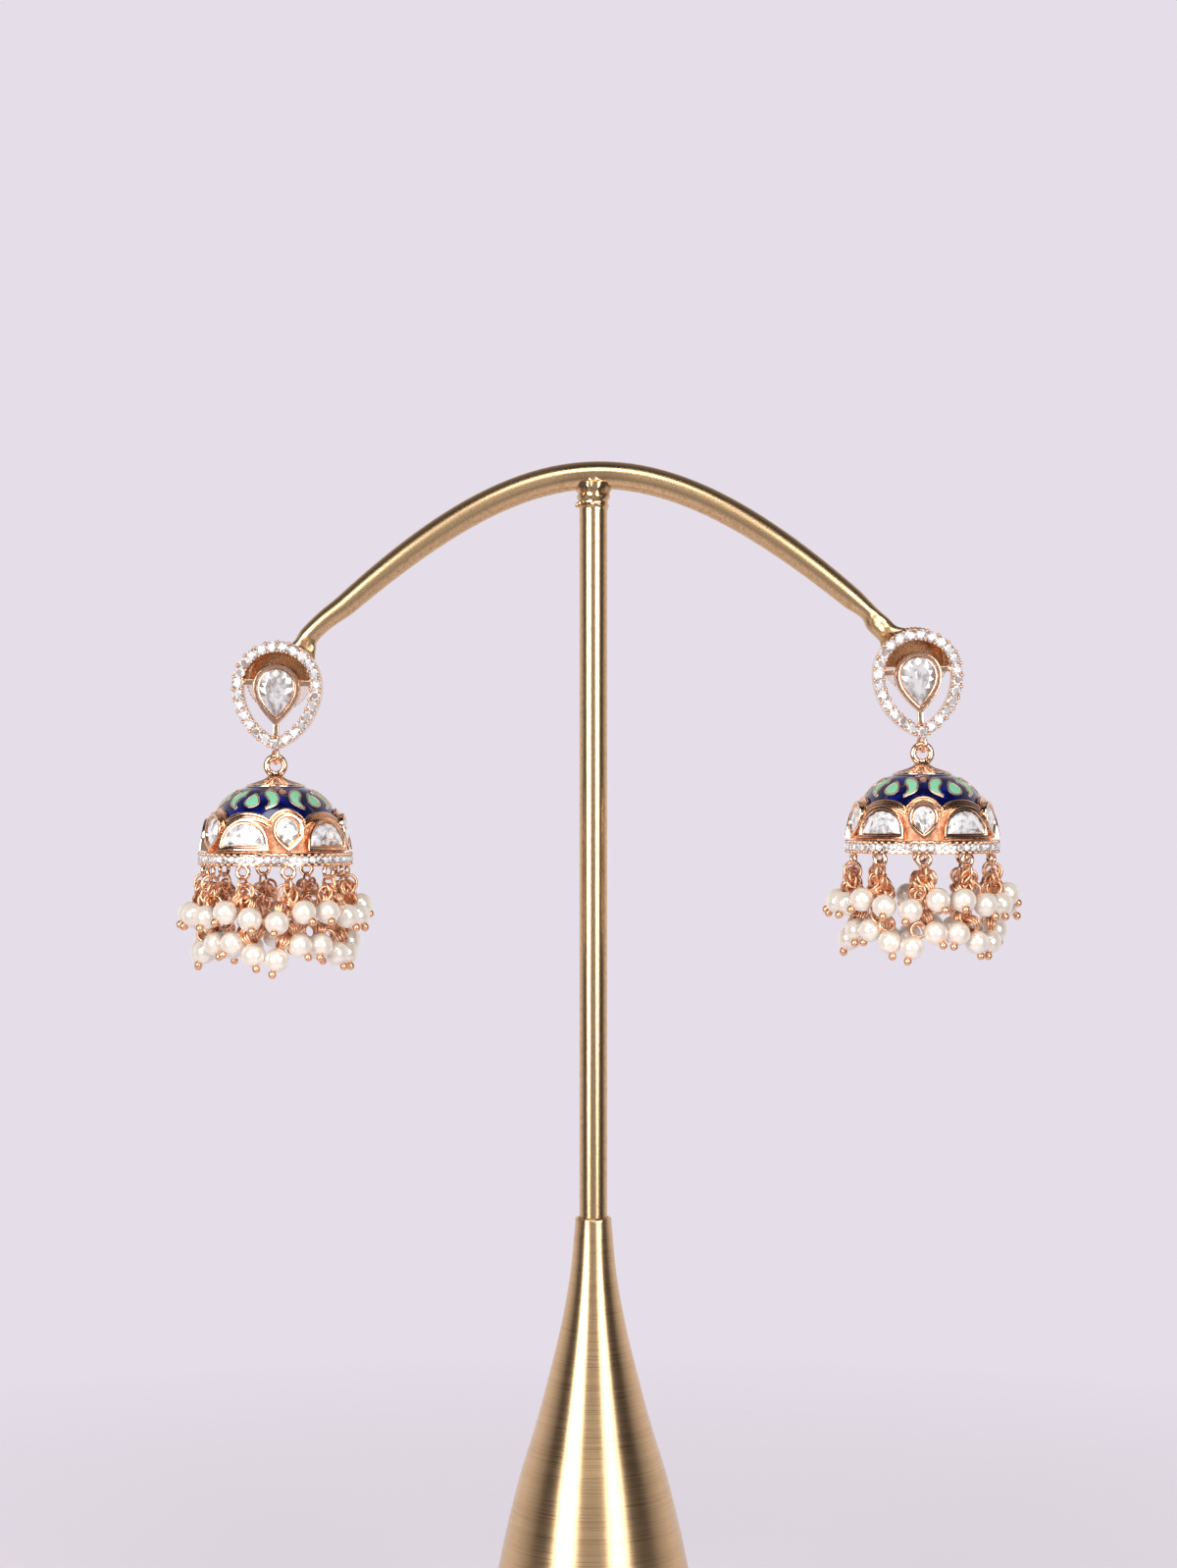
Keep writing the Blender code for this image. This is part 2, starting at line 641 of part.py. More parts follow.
def build_settings(side, place, turn_deg):
    pieces = []
    for i in range(SETTINGS):
        azimuth = math.radians(turn_deg) + math.tau * i / SETTINGS
        if i % 2 == 0:
            name = "{}_pear_{}".format(side, i // 2 + 1)
            tip = PEAR_HEIGHT - PEAR_WIDTH * 0.5
            item = setting(name, lambda inset: pear_outline(PEAR_WIDTH * 0.5, tip, inset, 6))
            item.matrix_world = setting_place(place, azimuth, tip)
        else:
            name = "{}_half_moon_{}".format(side, i // 2 + 1)
            item = setting(name, lambda inset: moon_outline(MOON_WIDTH, MOON_HEIGHT, inset, 8))
            item.matrix_world = setting_place(place, azimuth, 0.0)
        pieces.append(item)
    return pieces


def chain(name, points):
    """A chain's straight stand-in: a six-sided wire along the points, as a mesh."""
    curve = bpy.data.curves.new(name, "CURVE")
    curve.dimensions = "3D"
    curve.bevel_depth = CHAIN_RADIUS
    curve.bevel_resolution = 1
    curve.use_fill_caps = True
    spline = curve.splines.new("POLY")
    spline.points.add(len(points) - 1)
    for knot, point in zip(spline.points, points):
        knot.co = (*point, 1.0)
    item = bpy.data.objects.new(name, curve)
    bpy.context.scene.collection.objects.link(item)
    bpy.context.view_layer.update()
    solid = baked(item)
    shape = bmesh.new()
    shape.from_mesh(solid.data)
    bmesh.ops.remove_doubles(shape, verts=shape.verts, dist=0.000005)
    bmesh.ops.recalc_face_normals(shape, faces=shape.faces)
    shape.to_mesh(solid.data)
    shape.free()
    return solid


def ring_point(radius, azimuth, depth):
    return Vector((radius * math.sin(azimuth), -radius * math.cos(azimuth), -depth))


def build_fringe(side, place, turn_deg):
    """Ten drops under the band, each a chain with two upper and two lower pearls on it."""
    pieces = []
    half_pitch = math.pi / (2 * SETTINGS)
    hang_radius = BAND_RADIUS - BAND_WALL * 0.5
    for i, hang in enumerate(FRINGE_HANG):
        azimuth = math.radians(turn_deg) + math.tau * i / SETTINGS
        top = ring_point(hang_radius, azimuth, BAND_BOTTOM + SEAT_GAP)
        knee = ring_point(UPPER_RING * math.cos(half_pitch), azimuth, UPPER_DEPTH)
        lowest = LOWER_DEPTH + PEARL_RADIUS * max(hang["lower_a"], hang["lower_b"])
        foot = ring_point(LOWER_RING * math.cos(half_pitch), azimuth, lowest)
        drop = chain("{}_fringe_{}".format(side, i + 1), [top, knee, foot])
        pearls = []
        for level, radius, depth in (("upper", UPPER_RING, UPPER_DEPTH), ("lower", LOWER_RING, LOWER_DEPTH)):
            for sign, letter in ((-1.0, "a"), (1.0, "b")):
                low = hang[level + "_" + letter] * PEARL_RADIUS
                centre = ring_point(radius, azimuth + sign * half_pitch, depth + low)
                spin = Matrix.Rotation(azimuth, 4, "Z")
                pearls.append(ball(
                    "pearl", PEARL_RADIUS, PEARL_SIDES, PEARL_RINGS, Matrix.Translation(centre) @ spin))
        drop = combine(drop, pearls, "UNION")
        drop.matrix_world = Matrix.Translation(place)
        pieces.append(drop)
    return pieces


def finish(item, material, collection):
    """Name, paint and smooth a finished piece and file it in the collection."""
    item.data.name = item.name
    item.data.materials.clear()
    item.data.materials.append(material)
    item.data.shade_smooth()
    item.data.set_sharp_from_angle(angle=math.radians(35.0))
    for holder in list(item.users_collection):
        holder.objects.unlink(item)
    collection.objects.link(item)


def main():
    clear_scene()
    collection = make_collection("jhumka_earrings_on_stand")
    brass = make_material("brushed_brass", (0.62, 0.44, 0.20), 0.32, 1.0)
    gold = make_material("rose_gold", (0.86, 0.53, 0.32), 0.18, 1.0)
    enamel = make_material("blue_enamel", (0.02, 0.03, 0.30), 0.15, 0.0)
    clear = make_material("clear_stone", (0.92, 0.93, 0.95), 0.02, 0.0)
    plastic = make_material("clear_plastic", (0.86, 0.82, 0.82), 0.25, 0.0, alpha=0.5)
    pearl = make_material("cream_pearl", (0.85, 0.79, 0.68), 0.22, 0.0)
    finish(build_stand_base(), brass, collection)
    finish(build_stand_frame(), brass, collection)
    earrings = (
        ("left", LEFT_POST, LEFT_HALO_DROP, LEFT_LEAN_DEG, LEFT_TURN_DEG),
        ("right", RIGHT_POST, RIGHT_HALO_DROP, RIGHT_LEAN_DEG, RIGHT_TURN_DEG),
    )
    for side, post, drop, lean, turn_deg in earrings:
        stud, stone = build_stud(side, post, drop, lean)
        finish(stud, gold, collection)
        finish(stone, clear, collection)
        finish(build_clutch(side, post), plastic, collection)
        place = bail_place(post, drop, lean)
        finish(build_cap(side, place), gold, collection)
        finish(build_dome(side, place), enamel, collection)
        finish(build_band(side, place), gold, collection)
        for item in build_settings(side, place, turn_deg):
            finish(item, gold, collection)
        for item in build_fringe(side, place, turn_deg):
            finish(item, pearl, collection)


main()
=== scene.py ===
"""The looks of a pair of jhumka earrings hanging on a brushed brass stand.

Laid out as an add-on: the sizes and colours are properties, each group of pieces has an operator,
and main() runs them in order. Metres, +Z up; the front faces -Y. Each earring's bell is laid out
by its depth below the centre of its bail ring, and round it by an azimuth that is 0 at the front
and grows to the right.
"""
import json
import math
import random

import bmesh
import bpy
from bpy.props import FloatProperty, FloatVectorProperty, PointerProperty
from mathutils import Matrix, Vector, noise


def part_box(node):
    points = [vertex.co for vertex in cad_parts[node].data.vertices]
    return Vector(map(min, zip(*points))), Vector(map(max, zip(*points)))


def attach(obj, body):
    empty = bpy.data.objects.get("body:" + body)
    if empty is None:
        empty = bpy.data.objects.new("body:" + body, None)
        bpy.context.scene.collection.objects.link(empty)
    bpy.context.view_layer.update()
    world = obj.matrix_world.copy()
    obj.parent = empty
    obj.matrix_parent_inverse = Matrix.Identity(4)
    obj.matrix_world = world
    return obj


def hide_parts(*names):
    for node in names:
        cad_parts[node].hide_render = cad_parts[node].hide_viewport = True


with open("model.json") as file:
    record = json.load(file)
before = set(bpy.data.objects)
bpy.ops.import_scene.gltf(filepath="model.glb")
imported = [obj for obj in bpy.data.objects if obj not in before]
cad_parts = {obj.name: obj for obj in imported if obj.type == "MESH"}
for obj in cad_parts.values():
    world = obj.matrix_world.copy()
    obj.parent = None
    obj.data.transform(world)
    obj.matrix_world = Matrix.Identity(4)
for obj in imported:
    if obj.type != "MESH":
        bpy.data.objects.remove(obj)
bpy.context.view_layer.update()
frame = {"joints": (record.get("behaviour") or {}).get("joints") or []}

bl_info = {
    "name": "Jhumka earrings on a stand",
    "version": (1, 0, 0),
    "blender": (4, 5, 0),
    "location": "View3D > Sidebar > Jhumka",
    "description": "Dresses a pair of enamelled bell earrings and their brass stand",
    "category": "Object",
}

MM = 0.001
FINISH_ENDING = "_finish"
JOINTS = {joint["child"]: joint for joint in frame["joints"]}

# How each earring hangs: its side of the stand, halo's drop below the ear post, lean of the halo
# and turn of the bell in degrees, and the seed of its small irregularities
EARRINGS = {
    "left": {"outward": -1.0, "halo_drop": 1.2 * MM, "lean": 1.3, "turn": 16.0, "seed": 11},
    "right": {"outward": 1.0, "halo_drop": 2.1 * MM, "lean": -3.8, "turn": -5.0, "seed": 29},
}
SETTINGS = 10
HALO_STONES = 25
BAND_STONES = 62
CLUTCH_RIBS = 48
CAP_FLUTES = 18
CHAIN_RINGS = 5
KNOT_RINGS = 4
DOWN = Vector((0.0, 0.0, -1.0))

# Pearls of each drop, front one first and then round by the right: how much lower the two upper
# and the two lower pearls hang, a on the left and b on the right, as shares of a pearl's radius
FRINGE_HANG = [
    {"upper_a": 0.45, "upper_b": -0.40, "lower_a": 0.95, "lower_b": -0.25},
    {"upper_a": -0.35, "upper_b": 0.05, "lower_a": -0.20, "lower_b": 0.55},
    {"upper_a": 0.10, "upper_b": -0.70, "lower_a": 0.60, "lower_b": -0.30},
    {"upper_a": 0.35, "upper_b": -0.15, "lower_a": -0.45, "lower_b": 0.40},
    {"upper_a": -0.10, "upper_b": 0.30, "lower_a": 0.55, "lower_b": -0.20},
    {"upper_a": 0.25, "upper_b": -0.30, "lower_a": -0.35, "lower_b": 0.50},
    {"upper_a": -0.20, "upper_b": 0.20, "lower_a": 0.50, "lower_b": -0.40},
    {"upper_a": 0.30, "upper_b": -0.05, "lower_a": -0.25, "lower_b": 0.60},
    {"upper_a": 0.00, "upper_b": 0.10, "lower_a": 0.45, "lower_b": -0.30},
    {"upper_a": -0.35, "upper_b": 0.15, "lower_a": -0.40, "lower_b": 0.55},
]

# The stand's foot: height as a share of the collar's height, radius as a share of the way from
# the post's radius to the foot's
FOOT_PROFILE = [
    {"height": 0.968, "flare": 0.055},
    {"height": 0.895, "flare": 0.095},
    {"height": 0.804, "flare": 0.185},
    {"height": 0.713, "flare": 0.307},
    {"height": 0.622, "flare": 0.443},
    {"height": 0.531, "flare": 0.600},
    {"height": 0.440, "flare": 0.729},
    {"height": 0.363, "flare": 0.821},
    {"height": 0.270, "flare": 0.914},
    {"height": 0.170, "flare": 0.979},
    {"height": 0.100, "flare": 1.000},
    {"height": 0.045, "flare": 0.980},
    {"height": 0.012, "flare": 0.925},
]

# The bell: depth as a share of its height, radius as a share of the way from shoulder to rim
DOME_PROFILE = [
    {"depth": 0.000, "swell": 0.000},
    {"depth": 0.055, "swell": 0.235},
    {"depth": 0.130, "swell": 0.425},
    {"depth": 0.230, "swell": 0.610},
    {"depth": 0.350, "swell": 0.750},
    {"depth": 0.500, "swell": 0.870},
    {"depth": 0.700, "swell": 0.965},
    {"depth": 1.000, "swell": 1.000},
]

# A beaten arm end in millimetres from its ear post, neck first: the upper and the lower edge, each
# outwards and upwards, and how thick the metal is between front and back
TAB_SECTIONS = {
    "left": [
        {"upper": (-5.3, 9.3), "lower": (-7.4, 7.3), "thick": 3.0},
        {"upper": (-3.04, 7.04), "lower": (-5.4, 5.4), "thick": 2.8},
        {"upper": (-1.64, 5.08), "lower": (-5.15, 4.2), "thick": 2.3},
        {"upper": (1.2, 4.4), "lower": (-5.0, 3.0), "thick": 1.7},
        {"upper": (4.1, 2.8), "lower": (-5.0, 1.9), "thick": 1.3},
        {"upper": (5.0, 0.6), "lower": (-5.0, 0.6), "thick": 1.2},
        {"upper": (5.0, -0.7), "lower": (-5.0, -0.7), "thick": 1.2},
    ],
    "right": [
        {"upper": (-5.2, 7.45), "lower": (-7.54, 6.12), "thick": 2.9},
        {"upper": (-3.6, 6.05), "lower": (-6.7, 4.58), "thick": 2.6},
        {"upper": (-2.22, 4.86), "lower": (-5.58, 3.46), "thick": 2.2},
        {"upper": (0.9, 4.3), "lower": (-4.8, 2.6), "thick": 1.7},
        {"upper": (3.9, 2.9), "lower": (-4.8, 1.6), "thick": 1.3},
        {"upper": (5.0, 0.6), "lower": (-4.9, 0.6), "thick": 1.2},
        {"upper": (5.0, -0.7), "lower": (-4.9, -0.7), "thick": 1.2},
    ],
}

# How an arm's end closes under its tab: width as a share of the tab's, and millimetres below it
TAB_CLOSING = [(0.97, 0.15), (0.90, 0.26), (0.70, 0.30)]

# Hammer marks on an arm's end, in millimetres: outwards and upwards from its ear post, and radius
HAMMER_MARKS = [(-5.0, 5.4, 0.9), (-4.3, 4.6, 0.7), (-5.9, 6.4, 0.6), (-3.6, 5.2, 0.6)]

# Lump of solder under the crown: height below the arm's centre, radius, in millimetres
SOLDER_PROFILE = [
    (5.0, 1.96), (4.7, 2.06), (4.4, 2.22), (4.1, 2.12), (3.8, 2.08), (3.4, 2.30), (3.0, 2.34),
    (2.6, 2.24), (2.2, 2.46), (1.7, 2.70), (1.1, 2.60), (0.6, 1.60), (0.4, 0.0),
]

# The centre bezel from outside in: polished rim, fine groove, inner lip round the stone. In from
# the outline and behind the bezel's front, in millimetres
BEZEL_SECTION = [
    (0.00, 0.34), (0.04, 0.14), (0.12, 0.03), (0.34, 0.00), (0.54, 0.03), (0.63, 0.14),
    (0.67, 0.36), (0.70, 0.42), (0.74, 0.30), (0.82, 0.28), (0.86, 0.60),
]

# A setting on the bell from outside in: millimetres in from the outline, and share of its depth
SETTING_SECTION = [
    (0.00, 0.78), (0.03, 0.93), (0.09, 1.00), (0.24, 1.01), (0.40, 1.00), (0.48, 0.94),
    (0.53, 0.70), (0.58, 0.66), (0.63, 0.78), (0.72, 0.76), (0.77, 0.45),
]

# Lean of the settings with the bell's side, in degrees
SETTING_LEAN = 9.0

# The scalloped upper edge of the skirt: depths of its cusps and arches in millimetres, half the
# width of an arch over a pear in degrees, and how full the arches are, where less is fuller
SCALLOPS = {
    "cusp": 7.75, "pear_top": 6.15, "moon_top": 6.65, "pear_half": 15.5,
    "pear_fullness": 0.72, "moon_fullness": 0.62,
}

# The double crest along that edge: millimetres below the edge, and off the bell
CREST_SECTION = [
    (0.00, -0.05), (-0.04, 0.30), (0.04, 0.46), (0.18, 0.54), (0.32, 0.50), (0.44, 0.36), (0.50, 0.16),
    (0.58, 0.14), (0.64, 0.34), (0.76, 0.48), (0.92, 0.50), (1.06, 0.38), (1.14, 0.18), (1.24, 0.14),
]

# Low patches on the bell: millimetres in from the outline, share of the outline's size left as it
# is drawn in towards its middle, and millimetres off the bell
RIM_ROWS = [
    (-0.25, 1.0, -0.05), (-0.25, 1.0, 0.06), (-0.18, 1.0, 0.085), (0.0, 1.0, 0.085), (0.05, 1.0, 0.02),
]
FILL_ROWS = [
    (0.0, 1.0, -0.04), (0.0, 1.0, 0.05), (0.05, 0.93, 0.065), (0.0, 0.65, 0.07), (0.0, 0.35, 0.07),
    (0.0, 0.10, 0.07),
]
DOT_ROWS = [(0.0, 1.0, -0.05), (0.0, 1.0, 0.05), (0.1, 1.0, 0.09), (0.0, 0.4, 0.10)]

# The motifs in millimetres: half the sizes of a drop and a dot, a crescent's two sides as points
# across and down from its middle, and how far below the bell's top each motif's middle lies
DROP_SIZE = {"across": 1.08, "down": 1.0}
DOT_SIZE = {"across": 0.50, "down": 0.40}
CRESCENT_BACK = [
    (-0.98, -1.42), (-0.20, -1.46), (0.62, -1.02), (0.94, -0.16), (0.58, 0.72), (-0.62, 1.52),
]
CRESCENT_HOLLOW = [
    (-0.62, 1.52), (-0.14, 0.86), (-0.10, 0.26), (-0.42, -0.34), (-0.86, -0.82), (-0.98, -1.42),
]
MOTIF_DEPTHS = {"dot": 0.72, "drop": 1.90, "crescent": 1.80}
CRESCENT_ANGLE = 21.2

# Brightness of the room, from the camera's side of the stand (0) to the backdrop's (1)
ROOM_LEVELS = [(0.0, 0.34), (0.12, 0.16), (0.26, 0.05), (0.42, 0.05), (0.54, 0.42), (0.78, 0.86)]

# Elliptic studio lights: place, width and height in metres, power in watts
LIGHTS = {
    "key": {"place": (-0.44, -0.55, 0.25), "width": 0.40, "height": 0.56, "power": 3.9},
    "fill": {"place": (0.38, -0.59, 0.25), "width": 0.36, "height": 0.54, "power": 2.8},
    "top": {"place": (0.0, -0.50, 0.68), "width": 0.55, "height": 0.30, "power": 1.9},
}


def length(name, millimetres, description):
    return FloatProperty(
        name=name, description=description, default=millimetres * MM, unit="LENGTH", precision=5)


def colour(name, rgb, description):
    return FloatVectorProperty(
        name=name, description=description, default=rgb, subtype="COLOR", size=3, min=0.0, max=1.0)


class StandLook(bpy.types.PropertyGroup):
    """Sizes and colours of the brass stand."""
    collar_height: length("Collar height", 78.0, "Top of the foot's collar above the table")
    collar_radius: length("Collar radius", 2.6, "Radius of the foot's collar")
    foot_radius: length("Foot radius", 16.0, "Widest radius of the foot")
    foot_flat: length("Flat radius", 13.6, "Radius of the flat that stands on the table")
    post_radius: length("Post radius", 2.0, "Radius of the post")
    arm_radius: length("Arm radius", 2.0, "Radius of the arched arm")
    crown_height: length("Crown height", 184.25, "Height of the arm's centre at its crown")
    crown_x: length("Crown offset", 0.5, "Sideways place of the arm's crown")
    crown_rounding: length("Crown rounding", 57.5, "How round the arch is at its crown")
    arm_slope: FloatProperty(name="Arm slope", description="Steepness of the arm's ends", default=1.375)
    arm_tilt: FloatProperty(name="Arm tilt", description="Lean of the arm, in degrees", default=0.75)
    arm_span: length("Arm span", 72.0, "Width of the round stretch of the arm")
    arm_taper: length("Arm taper", 0.38, "How much thinner the arm's radius is at its ends")
    tab_hole: length("Tab hole", 0.55, "Radius of the hole for the ear post")
    brass: colour("Brass", (0.70, 0.475, 0.265), "Colour of the brushed brass")
    brass_dark: colour("Brass shade", (0.43, 0.265, 0.125), "Darker lines of the brass")


class StudLook(bpy.types.PropertyGroup):
    """Sizes of the halo, the centre setting and the clutch."""
    halo_radius: length("Halo radius", 6.5, "Radius of the halo's round top")
    halo_tip: length("Halo tip", 9.25, "Halo's tip below its round centre")
    halo_band: length("Halo band", 1.85, "Width of the halo's band")
    halo_depth: length("Halo depth", 2.2, "Depth of the halo from front to back")
    stone_radius: length("Halo stone", 0.82, "Radius of a halo stone")
    bead_radius: length("Halo bead", 0.24, "Radius of a bead that holds the halo stones")
    bezel_radius: length("Bezel radius", 3.3, "Radius of the centre bezel's round top")
    bezel_tip: length("Bezel tip", 5.45, "Bezel's tip below its round centre")
    bezel_sink: length("Bezel sink", 0.2, "Bezel's round centre below the halo's")
    bezel_rise: length("Bezel rise", 0.6, "How far the bezel stands before the halo")
    bar: length("Bar width", 0.8, "Width of the bars that carry the bezel")
    ear_post: length("Ear post radius", 0.4, "Radius of the ear post")
    ear_post_length: length("Ear post length", 9.5, "Length of the ear post behind the halo")
    link_radius: length("Link radius", 1.05, "Radius of the loop under the halo")
    link_wire: length("Link wire", 0.27, "Radius of that loop's wire")
    clutch_radius: length("Clutch radius", 4.75, "Radius of the clear clutch")


class BellLook(bpy.types.PropertyGroup):
    """Sizes of the cap, the bell, its settings and its band."""
    bail_radius: length("Bail radius", 1.25, "Radius of the bail ring")
    bail_wire: length("Bail wire", 0.5, "Radius of the bail ring's wire")
    cap_radius: length("Cap radius", 4.25, "Radius of the fluted cap")
    cap_top: length("Cap top", 1.15, "Depth of the cap's top")
    cap_bottom: length("Cap bottom", 2.95, "Depth of the cap's rim")
    shoulder: length("Shoulder", 4.2, "Radius of the bell at the cap")
    dome_radius: length("Bell radius", 9.6, "Radius of the bell at its rim")
    dome_top: length("Bell top", 3.0, "Depth of the bell's top")
    dome_height: length("Bell height", 9.2, "Height of the bell")
    dome_wall: length("Bell wall", 0.8, "Wall of the bell")
    setting_gap: length("Setting seat", 0.05, "Room between the bell and its settings")
    setting_depth: length("Setting depth", 1.0, "How far a setting stands out")
    setting_foot: length("Setting foot", 12.05, "Depth of the settings' lower edge")
    moon_width: length("Half-moon width", 8.0, "Width of a half-moon setting")
    moon_height: length("Half-moon height", 4.6, "Height of a half-moon setting")
    pear_width: length("Pear width", 4.6, "Width of a pear setting")
    pear_height: length("Pear height", 5.3, "Height of a pear setting")
    band_radius: length("Band radius", 10.95, "Outer radius of the band of small stones")
    band_top: length("Band top", 12.25, "Depth of the band's top")
    band_bottom: length("Band bottom", 14.05, "Depth of the band's lower edge")
    loop_radius: length("Loop radius", 0.86, "Radius of a fixed loop under the band")
    loop_wire: length("Loop wire", 0.31, "Radius of a fixed loop's wire")
    loop_inset: length("Loop inset", 0.7, "How far the fixed loops sit inside the band's face")
    band_stone: length("Band stone", 0.56, "Radius of a small stone of the band")
    band_bead: length("Band bead", 0.24, "Radius of a bead that holds the band's stones")
    flute_depth: length("Flute depth", 0.24, "Depth of the cap's flutes")
    skirt_thickness: length("Skirt thickness", 0.16, "How far the gold skirt stands off the bell")


class FringeLook(bpy.types.PropertyGroup):
    """Sizes of the pearl fringe."""
    pearl: length("Pearl radius", 1.7, "Radius of a pearl")
    upper_ring: length("Upper ring", 12.1, "Radius of the ring of upper pearls")
    lower_ring: length("Lower ring", 10.4, "Radius of the ring of lower pearls")
    upper_depth: length("Upper depth", 21.0, "Depth of the upper pearls")
    lower_depth: length("Lower depth", 25.4, "Depth of the lower pearls")
    wire: length("Wire radius", 0.21, "Radius of the jump rings' and eyes' wire")
    eye: length("Eye radius", 1.04, "Radius of the coiled eyes and the chain's rings")
    head: length("Pin head", 0.58, "Radius of a head pin's ball")
    jump: length("Jump ring", 1.2, "Radius of the jump rings under the band")


class FinishLook(bpy.types.PropertyGroup):
    """Colours of the metals, enamels, stones and pearls."""
    gold: colour("Rose gold", (0.94, 0.625, 0.44), "Polished rose-gold plating")
    wire_gold: colour("Wire gold", (0.96, 0.555, 0.345), "Redder gold of the fringe's wires")
    # Painted shade: the gold of the hollows between the settings, made darker and redder because shade
    # falls there
    copper: colour("Copper hollows", (0.88, 0.44, 0.26), "Duller metal between the settings")
    # This bright blue also colours the flecks that are painted in as glints
    blue: colour("Blue enamel", (0.005, 0.021, 0.42), "Royal blue enamel")
    blue_deep: colour("Deep blue", (0.0015, 0.0025, 0.036), "Blue where the enamel lies thick")
    mint: colour("Mint enamel", (0.21, 0.53, 0.33), "Mint enamel of the motifs")
    stone: colour("Stone", (0.97, 0.95, 0.96), "Foil-backed clear stones")
    # Painted reflection: the centre stone is clear, and its greyer colour stands in for the darker
    # surroundings that it mirrors
    centre_stone: colour("Centre stone", (0.68, 0.65, 0.655), "Greyer stone in the middle of the halo")
    # Painted reflection: the gold that the darker facets mirror, put into their colour
    facet_gold_reflection: colour("Stone shade", (0.30, 0.21, 0.17), "Facets that mirror the gold")
    pearl: colour("Pearl", (0.82, 0.735, 0.63), "Cream lustre of the pearls")
    pearl_blush: colour("Pearl blush", (0.83, 0.71, 0.595), "Warmer patches of the pearls")
    # Partly painted shade: this tint is the plastic's own and also stands in for the shaded brass tab seen
    # through it
    plastic: colour("Clutch", (0.88, 0.74, 0.67), "Clear plastic of the clutch")
    floor: colour("Floor", (0.97, 0.90, 0.97), "Pale floor under the stand")
    backdrop: colour("Backdrop", (0.783, 0.730, 0.807), "Pale lavender-grey of the studio")


class JhumkaLook(bpy.types.PropertyGroup):
    """All of the settings together."""
    stand: PointerProperty(type=StandLook)
    stud: PointerProperty(type=StudLook)
    bell: PointerProperty(type=BellLook)
    fringe: PointerProperty(type=FringeLook)
    finish: PointerProperty(type=FinishLook)


def look():
    return bpy.context.scene.jhumka_look


def tint(name, share=1.0):
    """One of the finishes' colours, dimmed or brightened by a share."""
    return tuple(min(1.0, channel * share) for channel in getattr(look().finish, name))


# Shader building

class Value:
    """A socket of a node tree, with arithmetic that adds Math nodes."""

    def __init__(self, graph, socket):
        self.graph = graph
        self.socket = socket

    def maths(self, operation, *terms):
        return self.graph.node("ShaderNodeMath", {"operation": operation}, dict(enumerate(terms)))

    def __add__(self, other):
        return self.maths("ADD", self, other)

    def __radd__(self, other):
        return self.maths("ADD", other, self)

    def __sub__(self, other):
        return self.maths("SUBTRACT", self, other)

    def __rsub__(self, other):
        return self.maths("SUBTRACT", other, self)

    def __mul__(self, other):
        return self.maths("MULTIPLY", self, other)

    def __rmul__(self, other):
        return self.maths("MULTIPLY", other, self)

    def __abs__(self):
        return self.maths("ABSOLUTE", self)


class Graph:
    """A node tree that is filled one node at a time."""

    def __init__(self, tree):
        self.tree = tree

    def plug(self, socket, value):
        if isinstance(value, Value):
            self.tree.links.new(value.socket, socket)
        elif isinstance(value, (tuple, list)) and len(value) == 3 and socket.type == "RGBA":
            socket.default_value = (*value, 1.0)
        else:
            socket.default_value = value

    def node(self, kind, settings=None, inputs=None, output=0):
        """A node of a kind, with its settings first and then the values or links of its sockets."""
        item = self.tree.nodes.new(kind)
        for key, setting in (settings or {}).items():
            if key == "stops":
                set_stops(item.color_ramp, setting)
            else:
                setattr(item, key, setting)
        for key, value in (inputs or {}).items():
            self.plug(item.inputs[key], value)
        return Value(self, item.outputs[output])

    def ramp(self, value, low, high, out_low=0.0, out_high=1.0):
        return self.node(
            "ShaderNodeMapRange", {"clamp": True},
            {"Value": value, "From Min": low, "From Max": high, "To Min": out_low, "To Max": out_high})


def set_stops(ramp, stops):
    """Give a new colour ramp its stops, each a position and a colour."""
    for _ in stops[2:]:
        ramp.elements.new(0.5)
    for element, (position, rgba) in zip(ramp.elements, stops):
        element.position = position
        element.color = rgba


class Finish(Graph):
    """A material with one Principled shader. Its noise scales count cells for each metre."""

    def __init__(self, name, rgb, roughness, metallic, **constants):
        self.material = bpy.data.materials.new(name + FINISH_ENDING)
        self.material.use_nodes = True
        super().__init__(self.material.node_tree)
        self.shader = self.tree.nodes["Principled BSDF"]
        self.material.diffuse_color = (*rgb, 1.0)
        self.set("Base Color", (*rgb, 1.0))
        self.set("Roughness", roughness)
        self.set("Metallic", metallic)
        for key, amount in constants.items():
            self.set(key.replace("_", " "), amount)

    def set(self, name, value):
        self.plug(self.shader.inputs[name], value)

    def place(self, scale=None):
        """Object coordinates, scaled where a pattern runs finer one way than another."""
        coordinates = self.node("ShaderNodeTexCoord", output="Object")
        if scale is None:
            return coordinates
        return self.node("ShaderNodeVectorMath", {"operation": "MULTIPLY"}, {0: coordinates, 1: scale})

    def noise(self, place, scale, detail=2.0, roughness=0.5):
        return self.node(
            "ShaderNodeTexNoise", {},
            {"Vector": place, "Scale": scale, "Detail": detail, "Roughness": roughness})

    def blend(self, factor, first, second):
        return self.node(
            "ShaderNodeMix", {"data_type": "RGBA"}, {0: factor, 6: first, 7: second}, output=2)

    def bump(self, height, distance, strength):
        normal = self.node(
            "ShaderNodeBump", {}, {"Strength": strength, "Distance": distance, "Height": height})
        self.set("Normal", normal)


